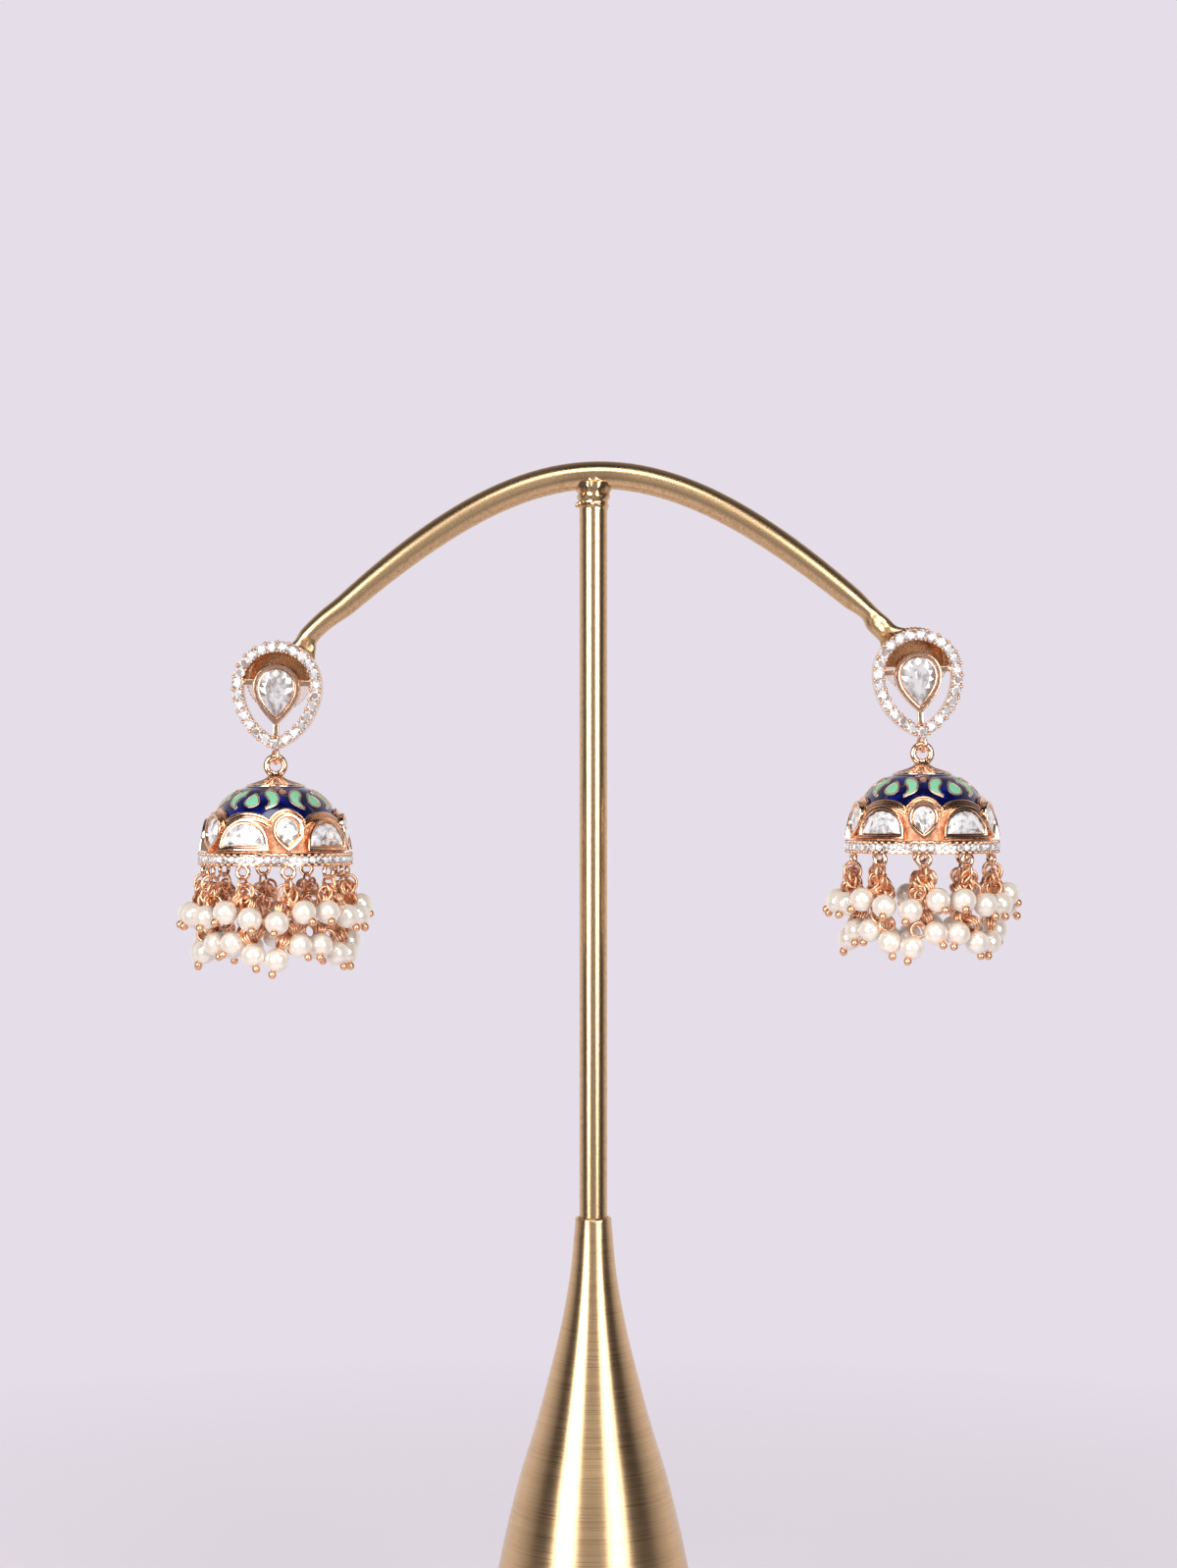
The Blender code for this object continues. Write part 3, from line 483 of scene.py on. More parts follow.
def brushed_brass_foot():
    """Fine lines brushed round the foot, a few of them deeper and darker."""
    brass, shade = look().stand.brass[:], look().stand.brass_dark[:]
    finish = Finish("brushed_brass_foot", brass, 0.3, 1.0, Anisotropic=0.75, Anisotropic_Rotation=0.25)
    lines = finish.noise(finish.place((60.0, 60.0, 14000.0)), 1.0, detail=4.0, roughness=0.6)
    broad = finish.noise(finish.place((25.0, 25.0, 900.0)), 1.0)
    clean = finish.ramp(lines * 0.8 + broad * 0.2, 0.24, 0.54)
    finish.set("Base Color", finish.blend(clean, shade, brass))
    finish.set("Roughness", finish.ramp(lines, 0.3, 0.7, 0.25, 0.36))
    finish.bump(lines, 0.01 * MM, strength=0.25)
    return finish.material


def satin_brass():
    """Satin rod: fine grain, faint mottling and soft dents."""
    brass, shade = look().stand.brass[:], look().stand.brass_dark[:]
    finish = Finish("satin_brass", brass, 0.2, 1.0)
    mottle = finish.noise(finish.place((2200.0, 2200.0, 1500.0)), 1.0, detail=4.0, roughness=0.66)
    dents = finish.noise(finish.place((160.0, 160.0, 120.0)), 1.0, detail=1.0)
    grain = finish.noise(finish.place((5200.0, 5200.0, 3600.0)), 1.0, detail=3.0)
    finish.set("Base Color", finish.blend(finish.ramp(mottle, 0.22, 0.52), shade, brass))
    # The post is the brighter part, the arm the more satin one
    sideways = finish.node("ShaderNodeSeparateXYZ", {}, {0: finish.place()}, "X")
    dullness = finish.ramp(abs(sideways), 2.0 * MM, 6.0 * MM, 0.19, 0.25)
    finish.set("Roughness", dullness + finish.ramp(mottle, 0.35, 0.65, 0.07, 0.0))
    finish.bump(dents + grain * 0.09, 0.08 * MM, strength=0.25)
    return finish.material


def polished_gold(name, tone, rough_low, rough_high):
    """Bright plating with the faint waviness and dull spots of cast and tumbled metal."""
    finish = Finish(name, tint(tone), 0.14, 1.0)
    wave = finish.noise(finish.place(), 700.0)
    fine = finish.noise(finish.place(), 4200.0)
    finish.set("Base Color", finish.blend(finish.ramp(fine, 0.35, 0.65), tint(tone, 0.86), tint(tone)))
    finish.set("Roughness", finish.ramp(fine, 0.35, 0.7, rough_low, rough_high))
    finish.bump(wave * 0.8 + fine * 0.2, 0.04 * MM, strength=0.35)
    return finish.material


def copper_hollow():
    """Rough-cast metal left between the settings, its colour painted darker and redder as the shade that
    falls in the hollows between them.
    """
    finish = Finish("copper_hollow", tint("copper"), 0.4, 1.0)
    # Partly real, partly painted shade: the rough cast is the metal's own, while its darker, redder colour
    # and darkest spots stand in for the shade between the settings
    cast = finish.noise(finish.place(), 1100.0, detail=4.0, roughness=0.65)
    clean = finish.ramp(cast, 0.38, 0.62)
    finish.set("Base Color", finish.blend(clean, tint("copper", 0.55), tint("copper")))
    finish.set("Roughness", finish.ramp(cast, 0.35, 0.65, 0.5, 0.26))
    finish.bump(cast, 0.5 * MM, strength=0.8)
    return finish.material


def blue_enamel():
    """Translucent royal blue over a foil, near black, with uneven lighter patches and bright flecks
    painted in as glints.
    """
    finish = Finish("blue_enamel", tint("blue_deep"), 0.1, 0.0, Coat_Weight=0.6, Coat_Roughness=0.02)
    cloud = finish.noise(finish.place(), 520.0, detail=3.0, roughness=0.6)
    glint_flecks = finish.noise(finish.place((1.0, 1.0, 0.55)), 1900.0, detail=3.0, roughness=0.7)
    # Painted highlights: the bright blue flecks stand in for glints off the foil; the broad patches are
    # the enamel's own uneven tone
    tone_and_glints = finish.ramp(cloud, 0.48, 0.66) * 0.35 + finish.ramp(glint_flecks, 0.60, 0.72) * 0.65
    finish.set("Base Color", finish.blend(tone_and_glints, tint("blue_deep"), tint("blue")))
    finish.set("Roughness", finish.ramp(glint_flecks, 0.3, 0.7, 0.08, 0.2))
    finish.bump(cloud, 0.05 * MM, strength=0.3)
    return finish.material


def mint_enamel():
    """Opaque mint enamel, a little uneven."""
    finish = Finish("mint_enamel", tint("mint"), 0.35, 0.0, Coat_Weight=0.25, Coat_Roughness=0.12)
    cloud = finish.noise(finish.place(), 1500.0, detail=3.0)
    finish.set("Base Color", finish.blend(cloud, tint("mint"), tint("mint", 1.18)))
    finish.bump(cloud, 0.03 * MM, strength=0.4)
    return finish.material


def foil_stone(name, tone, metallic, facets, streaking, grain):
    """A cut stone backed with foil, with painted reflections: every facet has a brightness of its own,
    kept in its tone, standing in for the light and dark that the facets mirror.

    facets is how much those count, streaking how strongly painted streaks of reflection break them
    up, and grain how small the streaks are.
    """
    finish = Finish(
        name, tint(tone), 0.05, metallic, Coat_Weight=1.0, Coat_Roughness=0.01, Coat_IOR=1.9)
    # Painted reflection: each facet's tone and the noise streaks stand in for the light and dark that the
    # facets mirror, the darkest taking the gold's colour
    level = finish.node("ShaderNodeAttribute", {"attribute_name": "tone"}, output="Fac")
    streaks = finish.noise(finish.place((1.0, 1.0, 0.6)), grain, detail=3.0, roughness=0.6)
    middle = 0.62
    light = (level - middle) * facets + (streaks - 0.5) * streaking + middle
    darker_facet_reflections = finish.blend(finish.ramp(light, 0.0, 0.45), tint("facet_gold_reflection"), tint(tone, 0.62))
    finish.set("Base Color", finish.blend(finish.ramp(light, 0.45, 0.85), darker_facet_reflections, tint(tone)))
    finish.set("Roughness", finish.ramp(level, 0.0, 1.0, 0.2, 0.05))
    return finish.material


def pearl_lustre():
    """Coated cream pearl: soft body, sharper coat, a warm blush in places, and a faint painted glow."""
    cream = tint("pearl")
    # Painted light: the faint emission in the pearl's own colour is a glow that lifts its shaded sides,
    # standing in for light scattered inside the pearl and from the room
    finish = Finish(
        "pearl_lustre", cream, 0.36, 0.0, Coat_Weight=1.0, Coat_Roughness=0.21, Coat_IOR=3.2,
        Specular_IOR_Level=0.7, Emission_Color=(*cream, 1.0), Emission_Strength=0.05)
    blush = finish.noise(finish.place(), 420.0)
    grain = finish.noise(finish.place(), 3600.0)
    finish.set("Base Color", finish.blend(finish.ramp(blush, 0.4, 0.62), cream, tint("pearl_blush")))
    finish.set("Roughness", finish.ramp(grain, 0.3, 0.7, 0.26, 0.40))
    finish.bump(grain, 0.02 * MM, strength=0.3)
    return finish.material


def clear_plastic():
    """Clear moulded plastic, faintly frosted; its pink-brown tint is partly its own and partly painted
    shade of the brass tab behind it.
    """
    finish = Finish("clear_plastic", tint("plastic"), 0.1, 0.0, Transmission_Weight=1.0, IOR=1.3)
    frost = finish.noise(finish.place(), 1400.0)
    finish.set("Roughness", finish.ramp(frost, 0.3, 0.7, 0.02, 0.08))
    return finish.material


def pale_floor():
    """Pale floor that fades out into the backdrop."""
    pale = tint("floor")
    finish = Finish("pale_floor", pale, 0.6, 0.0, Emission_Color=(*pale, 1.0), Emission_Strength=0.13)
    away = finish.node(
        "ShaderNodeVectorMath", {"operation": "LENGTH"}, {0: finish.place()}, output="Value")
    solid = Value(finish, finish.shader.outputs["BSDF"])
    clear = finish.node("ShaderNodeBsdfTransparent")
    fade = finish.node("ShaderNodeMixShader", {}, {0: finish.ramp(away, 0.06, 0.30), 1: solid, 2: clear})
    finish.plug(finish.tree.nodes["Material Output"].inputs["Surface"], fade)
    return finish.material


MATERIAL_MAKERS = {
    "brushed_brass_foot": brushed_brass_foot,
    "satin_brass": satin_brass,
    "rose_gold": lambda: polished_gold("rose_gold", "gold", 0.08, 0.2),
    "wire_gold": lambda: polished_gold("wire_gold", "wire_gold", 0.26, 0.42),
    "satin_gold": lambda: polished_gold("satin_gold", "gold", 0.32, 0.5),
    "copper_hollow": copper_hollow,
    "blue_enamel": blue_enamel,
    "mint_enamel": mint_enamel,
    "small_stone": lambda: foil_stone(
        "small_stone", "stone", metallic=0.05, facets=1.1, streaking=0.8, grain=1500.0),
    "large_stone": lambda: foil_stone(
        "large_stone", "stone", metallic=0.15, facets=0.85, streaking=3.0, grain=1150.0),
    "centre_stone": lambda: foil_stone(
        "centre_stone", "centre_stone", metallic=0.15, facets=0.5, streaking=3.4, grain=850.0),
    "pearl_lustre": pearl_lustre,
    "clear_plastic": clear_plastic,
    "pale_floor": pale_floor,
}


def material(name):
    found = bpy.data.materials.get(name + FINISH_ENDING)
    return found if found else MATERIAL_MAKERS[name]()


# Modelling helpers

def deselect():
    bpy.ops.object.select_all(action="DESELECT")


def activate(item):
    deselect()
    item.select_set(True)
    bpy.context.view_layer.objects.active = item


def added(name):
    """The primitive that was just added, named, with its place put into its mesh."""
    item = bpy.context.object
    item.name = name
    bpy.ops.object.transform_apply(location=True, rotation=True, scale=True)
    return item


def torus(name, radius, wire, place, sides, wire_sides):
    deselect()
    bpy.ops.mesh.primitive_torus_add(
        major_radius=radius, minor_radius=wire, major_segments=sides, minor_segments=wire_sides)
    item = added(name)
    item.data.transform(place)
    return item


def ball(name, radius, place, segments, rings):
    deselect()
    bpy.ops.mesh.primitive_uv_sphere_add(radius=radius, segments=segments, ring_count=rings)
    item = added(name)
    item.data.transform(place)
    return item


def rod(name, radius, start, end, sides):
    """A straight round wire between two points."""
    start, end = Vector(start), Vector(end)
    deselect()
    bpy.ops.mesh.primitive_cylinder_add(vertices=sides, radius=radius, depth=(end - start).length)
    item = added(name)
    turn = (end - start).to_track_quat("Z", "Y").to_matrix().to_4x4()
    item.data.transform(Matrix.Translation((start + end) * 0.5) @ turn)
    return item


def block(name, size, place, bevel):
    deselect()
    bpy.ops.mesh.primitive_cube_add(size=1.0)
    item = added(name)
    item.data.transform(Matrix.Diagonal((*size, 1.0)))
    apply_modifier(item, "BEVEL", width=bevel, segments=3)
    item.data.transform(place)
    return item


def apply_modifier(item, kind, **settings):
    activate(item)
    step = item.modifiers.new(kind.title(), kind)
    for key, setting in settings.items():
        setattr(step, key, setting)
    bpy.ops.object.modifier_apply(modifier=step.name)


def skin(name, rings, closed=False):
    """Faces between a row of like-sized rings of points, capped unless the row is closed."""
    shape = bmesh.new()
    rows = [[shape.verts.new(point) for point in ring] for ring in rings]
    pairs = list(zip(rows, rows[1:]))
    if closed:
        pairs.append((rows[-1], rows[0]))
    else:
        shape.faces.new(rows[0])
        shape.faces.new(rows[-1])
    for row, following in pairs:
        for i in range(len(row)):
            j = (i + 1) % len(row)
            shape.faces.new((row[i], row[j], following[j], following[i]))
    bmesh.ops.recalc_face_normals(shape, faces=shape.faces)
    return from_shape(name, shape)


def from_shape(name, shape):
    mesh = bpy.data.meshes.new(name)
    shape.to_mesh(mesh)
    shape.free()
    item = bpy.data.objects.new(name, mesh)
    bpy.context.scene.collection.objects.link(item)
    return item


def turned(name, profile, steps):
    """A solid of revolution about Z, or a ring if its profile of (radius, height) starts off Z."""
    shape = bmesh.new()
    rows = []
    for i in range(steps):
        angle = math.tau * i / steps
        rows.append([shape.verts.new((r * math.cos(angle), r * math.sin(angle), z)) for r, z in profile])
    for i, row in enumerate(rows):
        following = rows[(i + 1) % steps]
        for j in range(len(row) - 1):
            shape.faces.new((row[j], following[j], following[j + 1], row[j + 1]))
        if profile[0][0] > 0.0:
            shape.faces.new((row[-1], following[-1], following[0], row[0]))
    bmesh.ops.remove_doubles(shape, verts=shape.verts, dist=1e-7)
    bmesh.ops.dissolve_degenerate(shape, dist=1e-8, edges=shape.edges)
    bmesh.ops.recalc_face_normals(shape, faces=shape.faces)
    return from_shape(name, shape)


def smooth_path(points, steps):
    """Points along a smooth curve through the given ones, flat or in space."""
    points = [Vector(point) for point in points]
    path = []
    for i in range(len(points) - 1):
        before = points[max(i - 1, 0)]
        start, end = points[i], points[i + 1]
        after = points[min(i + 2, len(points) - 1)]
        for k in range(steps):
            t = k / steps
            path.append(0.5 * (
                2.0 * start + (end - before) * t
                + (2.0 * before - 5.0 * start + 4.0 * end - after) * t * t
                + (3.0 * start - 3.0 * end + after - before) * t ** 3))
    path.append(points[-1])
    return path


def joined(name, items):
    """One object from several."""
    deselect()
    for item in items:
        item.select_set(True)
    bpy.context.view_layer.objects.active = items[0]
    bpy.ops.object.join()
    whole = bpy.context.object
    whole.name = name
    whole.data.name = name
    return whole


def copies(name, source, places):
    """The source's mesh once for every place, as one object; the source is used up."""
    shape = bmesh.new()
    for place in places:
        mesh = source.data.copy()
        mesh.transform(place)
        shape.from_mesh(mesh)
        bpy.data.meshes.remove(mesh)
    bpy.data.objects.remove(source, do_unlink=True)
    return from_shape(name, shape)


def united(first, others):
    """The first object with the others fused to it; the others are used up."""
    for other in others:
        apply_modifier(first, "BOOLEAN", operation="UNION", solver="EXACT", object=other)
        bpy.data.objects.remove(other, do_unlink=True)


def dressed(item, finish, body, smooth=40.0):
    """Shade the piece, give it its finish and hang it on its body."""
    item.data.materials.append(material(finish))
    if smooth:
        activate(item)
        bpy.ops.object.shade_smooth_by_angle(angle=math.radians(smooth))
    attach(item, body)


def painted_facet_light(item, seed, dark_share):
    """Give every facet a brightness of its own, a painted reflection of the light it would mirror; the
    dark share is dark or grey.
    """
    dice = random.Random(seed)
    tones = item.data.attributes.new("tone", "FLOAT", "FACE")
    for entry in tones.data:
        entry.value = dice.uniform(0.0, 0.5) if dice.random() < dark_share else dice.uniform(0.55, 1.0)
    return item


def pear_outline(radius, tip, inset, count, pointed=0.0):
    """Points (x, z) of a pear: a half circle over the origin, two arcs to a tip below it.

    pointed draws the arcs in towards the straight sides of a teardrop.
    """
    side = (radius * radius + tip * tip) / (2.0 * radius)
    round_radius = radius - inset
    side_radius = side - inset
    reach = math.acos((side - radius) / side_radius)
    quarter = count // 2
    right = []
    for i in range(quarter):
        angle = math.pi / 2 - math.pi / 2 * i / quarter
        right.append((round_radius * math.cos(angle), round_radius * math.sin(angle)))
    # The teardrop keeps to the circle for its first share, then runs straight to its tip
    round_share = 0.4
    touch = math.asin(radius / tip)
    drop_tip = Vector((0.0, -tip * (1.0 - inset / radius)))
    touching = Vector((math.cos(touch), -math.sin(touch))) * round_radius
    for i in range(count - quarter + 1):
        share = i / (count - quarter)
        turn = reach * share
        arc = Vector((radius - side + side_radius * math.cos(turn), -side_radius * math.sin(turn)))
        if share < round_share:
            angle = touch * share / round_share
            drop = Vector((math.cos(angle), -math.sin(angle))) * round_radius
        else:
            drop = touching.lerp(drop_tip, (share - round_share) / (1.0 - round_share))
        point = arc.lerp(drop, pointed)
        right.append((point.x, point.y))
    right[-1] = (0.0, right[-1][1])
    return right + [(-x, z) for x, z in reversed(right[1:-1])]


def moon_outline(width, height, inset, count):
    """Points (x, z) of a half moon, flat side down, a little fuller than half an ellipse."""
    half = width * 0.5 - inset
    rise = height - inset * 2.0
    fullness = 0.92
    points = []
    for i in range(count + 1):
        angle = math.pi * i / count
        points.append((half * math.cos(angle), inset + rise * math.sin(angle) ** fullness))
    flat = 4
    for i in range(1, flat):
        points.append((-half + 2.0 * half * i / flat, inset))
    return points


def even(outline, count, start):
    """Points at equal steps along a closed outline, and the outline's direction at each."""
    loop = [Vector(point) for point in outline]
    loop.append(loop[0])
    lengths = [(b - a).length for a, b in zip(loop, loop[1:])]
    total = sum(lengths)
    found = []
    for i in range(count):
        goal = (total * (i + start) / count) % total
        k = 0
        while goal > lengths[k]:
            goal -= lengths[k]
            k += 1
        direction = (loop[k + 1] - loop[k]).normalized()
        found.append((loop[k] + direction * goal, direction))
    return found


def relief(name, rows):
    """A capped stack of outlines: each row is (outline of (x, z), y)."""
    return skin(name, [[(x, y, z) for x, z in outline] for outline, y in rows])


def ring_relief(name, outlines):
    """A closed ring whose cross-section is given by outlines: each is (outline, y)."""
    count = len(outlines[0][0])
    rings = [[(outline[i][0], y, outline[i][1]) for outline, y in outlines] for i in range(count)]
    return skin(name, rings, closed=True)


def cut_stone(name, outline, rise, depth, seed, table, uneven=0.0):
    """A cut stone on y = 0 facing -Y: girdle, triangular crown facets and a table.

    outline has an even number of points (x, z). uneven tips the inner facets, as in an old cut.
    """
    dice = random.Random(seed)
    count = len(outline)
    middle = Vector((sum(p[0] for p in outline) / count, sum(p[1] for p in outline) / count))
    shape = bmesh.new()

    def corner(i, share, y):
        point = middle + (Vector(outline[i % count]) - middle) * share
        return shape.verts.new((point.x, y, point.y))

    def rough(height):
        return -rise * (height + uneven * dice.uniform(-1, 1))

    # Heights are shares of the rise: girdle, crown corners, the table's corners and its middle
    half = count // 2
    between = (1.0 + table) * 0.5 + 0.04
    back = [corner(i, 1.0, depth) for i in range(count)]
    girdle = [corner(i, 1.0, -rise * 0.12) for i in range(count)]
    crown = [corner(2 * i + 1, between, rough(0.68)) for i in range(half)]
    top = [corner(2 * i, table, rough(1.0)) for i in range(half)]
    shape.faces.new(back)
    for i in range(count):
        j = (i + 1) % count
        shape.faces.new((back[i], back[j], girdle[j], girdle[i]))
    for i in range(half):
        before, after = crown[i - 1], crown[i]
        shape.faces.new((girdle[2 * i], after, top[i]))
        shape.faces.new((girdle[2 * i], top[i], before))
        shape.faces.new((girdle[2 * i], girdle[2 * i + 1], after))
        shape.faces.new((girdle[2 * i + 1], girdle[(2 * i + 2) % count], after))
        shape.faces.new((top[i], after, top[(i + 1) % half]))
    if uneven:
        reach = (Vector(outline[0]) - middle).length * 0.16
        hub_x = middle.x + reach * dice.uniform(-1, 1)
        hub = shape.verts.new((hub_x, -rise * 1.06, middle.y + reach * dice.uniform(-1, 1)))
        inner = [corner(2 * i + 1, table * dice.uniform(0.42, 0.72), rough(1.02)) for i in range(half)]
        for i in range(half):
            j = (i + 1) % half
            shape.faces.new((top[i], top[j], inner[i]))
            shape.faces.new((inner[i], top[j], inner[j]))
            shape.faces.new((inner[i], inner[j], hub))
    else:
        shape.faces.new(top)
    bmesh.ops.recalc_face_normals(shape, faces=shape.faces)
    return from_shape(name, shape)


def oval(across, down, count):
    return [(across * math.cos(math.tau * i / count), down * math.sin(math.tau * i / count))
            for i in range(count)]


def bail_place(side):
    return Vector(JOINTS[side + "_drop"]["pos_m"])


def ear_post_place(side):
    low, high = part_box(side + "_clutch")
    return (low + high) * 0.5


def halo_place(side):
    """The halo's own frame: its round centre, leaning, in the plane that the drop hangs in."""
    post = ear_post_place(side)
    hang = EARRINGS[side]
    return (Matrix.Translation((post.x, bail_place(side).y, post.z))
            @ Matrix.Rotation(math.radians(hang["lean"]), 4, "Y")
            @ Matrix.Translation((0.0, 0.0, -hang["halo_drop"])))


def around(azimuth):
    return Matrix.Rotation(azimuth, 4, "Z")


# Stand

def make_foot():
    stand = look().stand
    flare = stand.foot_radius - stand.post_radius
    height = stand.collar_height
    collar = stand.collar_radius
    bore = stand.post_radius + 0.12 * MM
    socket_floor = height - 5.0 * MM
    lip = 0.35 * MM
    curve = [(stand.post_radius + flare * row["flare"], height * row["height"]) for row in FOOT_PROFILE]
    socket_and_rim = [
        (0.0, socket_floor),
        (bore, socket_floor),
        (bore, height - lip * 0.3),
        (bore + 0.06 * MM, height),
        (collar - lip * 0.5, height),
        (collar, height - lip * 0.5),
        (collar, height - lip * 1.6),
    ]
    sides = [(point.x, point.y) for point in smooth_path(curve, 6)]
    flat = [(stand.foot_flat + 0.5 * MM, 0.15 * MM), (stand.foot_flat, 0.0), (0.0, 0.0)]
    foot = turned("stand_foot", socket_and_rim + sides + flat, 128)
    bruise(foot, height - 2.0 * lip, stand.post_radius + 0.3 * MM)
    dressed(foot, "brushed_brass_foot", "stand", smooth=50.0)
    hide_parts("stand_base")


def bruise(foot, lowest, inner):
    """The collar's rim is a little bruised where the post was driven in."""
    collar = look().stand.collar_radius
    width = 0.3
    dice = random.Random(5)
    nicks = [(dice.uniform(0.0, math.tau), dice.uniform(0.04, 0.12) * MM) for _ in range(5)]
    for vertex in foot.data.vertices:
        if vertex.co.z > lowest and vertex.co.xy.length > inner:
            angle = math.atan2(vertex.co.y, vertex.co.x)
            for where, dent in nicks:
                near = max(0.0, 1.0 - abs((angle - where + math.pi) % math.tau - math.pi) / width)
                vertex.co.z -= dent * near
                vertex.co.xy *= 1.0 - 0.3 * dent * near / collar


def arm_point(u):
    """Centre of the arm and its direction at a distance u sideways from the crown."""
    stand = look().stand
    rounding, slope = stand.crown_rounding, stand.arm_slope
    drop = math.hypot(rounding, slope * u) - rounding
    fall = slope * slope * u / math.hypot(rounding, slope * u)
    tilt = Matrix.Rotation(-math.radians(stand.arm_tilt), 3, "Y")
    point = tilt @ Vector((u, 0.0, -drop)) + Vector((stand.crown_x, 0.0, stand.crown_height))
    return point, (tilt @ Vector((1.0, 0.0, -fall))).normalized()


def arm_rows():
    """Upper edge, lower edge and thickness of the arm, from the left tab's end to the right's."""
    stand = look().stand
    half = stand.arm_span * 0.5
    steps = 48
    rows = []
    for i in range(steps + 1):
        along = 2.0 * i / steps - 1.0
        point, direction = arm_point(half * along)
        up = Vector((-direction.z, 0.0, direction.x))
        radius = stand.arm_radius - stand.arm_taper * abs(along) ** 3
        upper = point + up * stand.arm_radius
        rows.append((upper, point + up * (stand.arm_radius - 2.0 * radius), radius * 2.0))
    left = beaten_end("left", [rows[2], rows[0]])
    right = beaten_end("right", [rows[-3], rows[-1]])
    return list(reversed(left)) + rows + right


def beaten_end(side, round_rows):
    """Rows of one end of the arm, from its last round rows to the closing under its tab."""
    post = ear_post_place(side)
    outward = EARRINGS[side]["outward"]
    end = list(round_rows)
    for row in TAB_SECTIONS[side]:
        upper, lower = [
            Vector((post.x + outward * out * MM, 0.0, post.z + up * MM))
            for out, up in (row["upper"], row["lower"])]
        end.append((upper, lower, row["thick"] * MM))
    fine = 6
    tops = smooth_path([row[0] for row in end], fine)
    lows = smooth_path([row[1] for row in end], fine)
    thick = smooth_path([(row[2], 0.0) for row in end], fine)
    rows = [(top, low, size.x) for top, low, size in zip(tops, lows, thick)][fine + 1:]
    upper, lower, thickness = rows[-1]
    for narrow, sink in TAB_CLOSING:
        centre = (upper + lower) * 0.5 - Vector((0.0, 0.0, sink * MM))
        reach = (upper - lower) * 0.5 * narrow
        rows.append((centre + reach, centre - reach, thickness * narrow ** 2))
    return rows


def make_arm():
    stand = look().stand
    sides = 40
    rings = []
    for upper, lower, thick in arm_rows():
        centre, across = (upper + lower) * 0.5, (upper - lower) * 0.5
        # Round where the metal is as thick as it is wide, squarer where it is beaten thin
        roundness = min(1.0, thick / (2.0 * across.length))
        power = 0.55 + 0.45 * roundness
        ring = []
        for i in range(sides):
            angle = math.tau * (i + 0.5) / sides
            x = math.copysign(abs(math.cos(angle)) ** power, math.cos(angle))
            y = math.copysign(abs(math.sin(angle)) ** power, math.sin(angle))
            ring.append(centre + across * x + Vector((0.0, thick * 0.5 * y, 0.0)))
        rings.append(ring)
    arm = skin("stand_arm", rings)
    hammer(arm)
    crown, _ = arm_point(-stand.crown_x)
    post = make_post(crown)
    solder, burr = make_solder(crown)
    united(arm, [post, solder, burr])
    for side in EARRINGS:
        place = ear_post_place(side)
        front, back = (place.x, -5.0 * MM, place.z), (place.x, 5.0 * MM, place.z)
        hole = rod("hole", stand.tab_hole, front, back, 24)
        apply_modifier(arm, "BOOLEAN", operation="DIFFERENCE", solver="EXACT", object=hole)
        bpy.data.objects.remove(hole, do_unlink=True)
    dressed(arm, "satin_brass", "stand", smooth=34.0)
    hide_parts("stand_frame")


def make_post(crown):
    """The round post from the foot's socket up into the arm, with more rows near the solder."""
    stand = look().stand
    seat = 4.6 * MM
    low = stand.collar_height - seat
    levels = [low, low + 0.5 * MM, crown.z * 0.5 + low * 0.5]
    levels += [crown.z - down * MM for down in (12.0, 8.0, 6.5, 5.8, 5.4, 5.1, 4.8, 0.0)]
    section = oval(stand.post_radius, stand.post_radius, 56)
    return skin("post", [[(x, y, level) for x, y in section] for level in levels])


def make_solder(crown):
    """The uneven lump of solder under the crown and the burr beside it."""
    solder = turned("solder", [(radius * MM, -down * MM) for down, radius in SOLDER_PROFILE], 48)
    for vertex in solder.data.vertices:
        lump = noise.noise(vertex.co * 900.0) * 0.10 + noise.noise(vertex.co * 2300.0) * 0.05
        vertex.co += Vector((vertex.co.x, vertex.co.y, 0.0)) * lump
    solder.data.transform(Matrix.Translation((0.0, 0.0, crown.z)))
    burr = ball("burr", 0.42 * MM, Matrix.Diagonal((1.5, 0.8, 0.8, 1.0)), 16, 10)
    spot = Matrix.Translation((-2.1 * MM, -0.9 * MM, crown.z - 4.2 * MM))
    burr.data.transform(spot @ Matrix.Rotation(-0.7, 4, "Y"))
    return solder, burr


def hammer(arm):
    """A few shallow hammer marks where the arm's ends were beaten flat."""
    depth = 0.16 * MM
    marks = []
    for side in EARRINGS:
        post = ear_post_place(side)
        outward = EARRINGS[side]["outward"]
        for out, up, size in HAMMER_MARKS:
            marks.append((Vector((post.x + outward * out * MM, post.z + up * MM)), size * MM))
    for vertex in arm.data.vertices:
        for spot, size in marks:
            away = (Vector((vertex.co.x, vertex.co.z)) - spot).length / size
            if away < 1.0 and vertex.co.y < 0.0:
                vertex.co.y += depth * (1.0 - away * away)


# Studs

def halo_outline(inset, count=48):
    stud = look().stud
    return pear_outline(stud.halo_radius, stud.halo_tip, inset, count)


def centre_outline(inset, count=40):
    stud = look().stud
    return pear_outline(stud.bezel_radius, stud.bezel_tip, inset, count, 0.5)


def halo_ring(front, back):
    """The halo's base ring, a little narrower than the row of stones that it carries."""
    band = look().stud.halo_band
    outer = [(0.12 * MM, back), (0.06 * MM, back - 0.1 * MM), (0.12 * MM, front + 0.5 * MM),
             (0.26 * MM, front + 0.2 * MM)]
    inner = [(band - inset, y) for inset, y in reversed(outer)]
    return ring_relief("halo", [(halo_outline(inset), y) for inset, y in outer + inner])


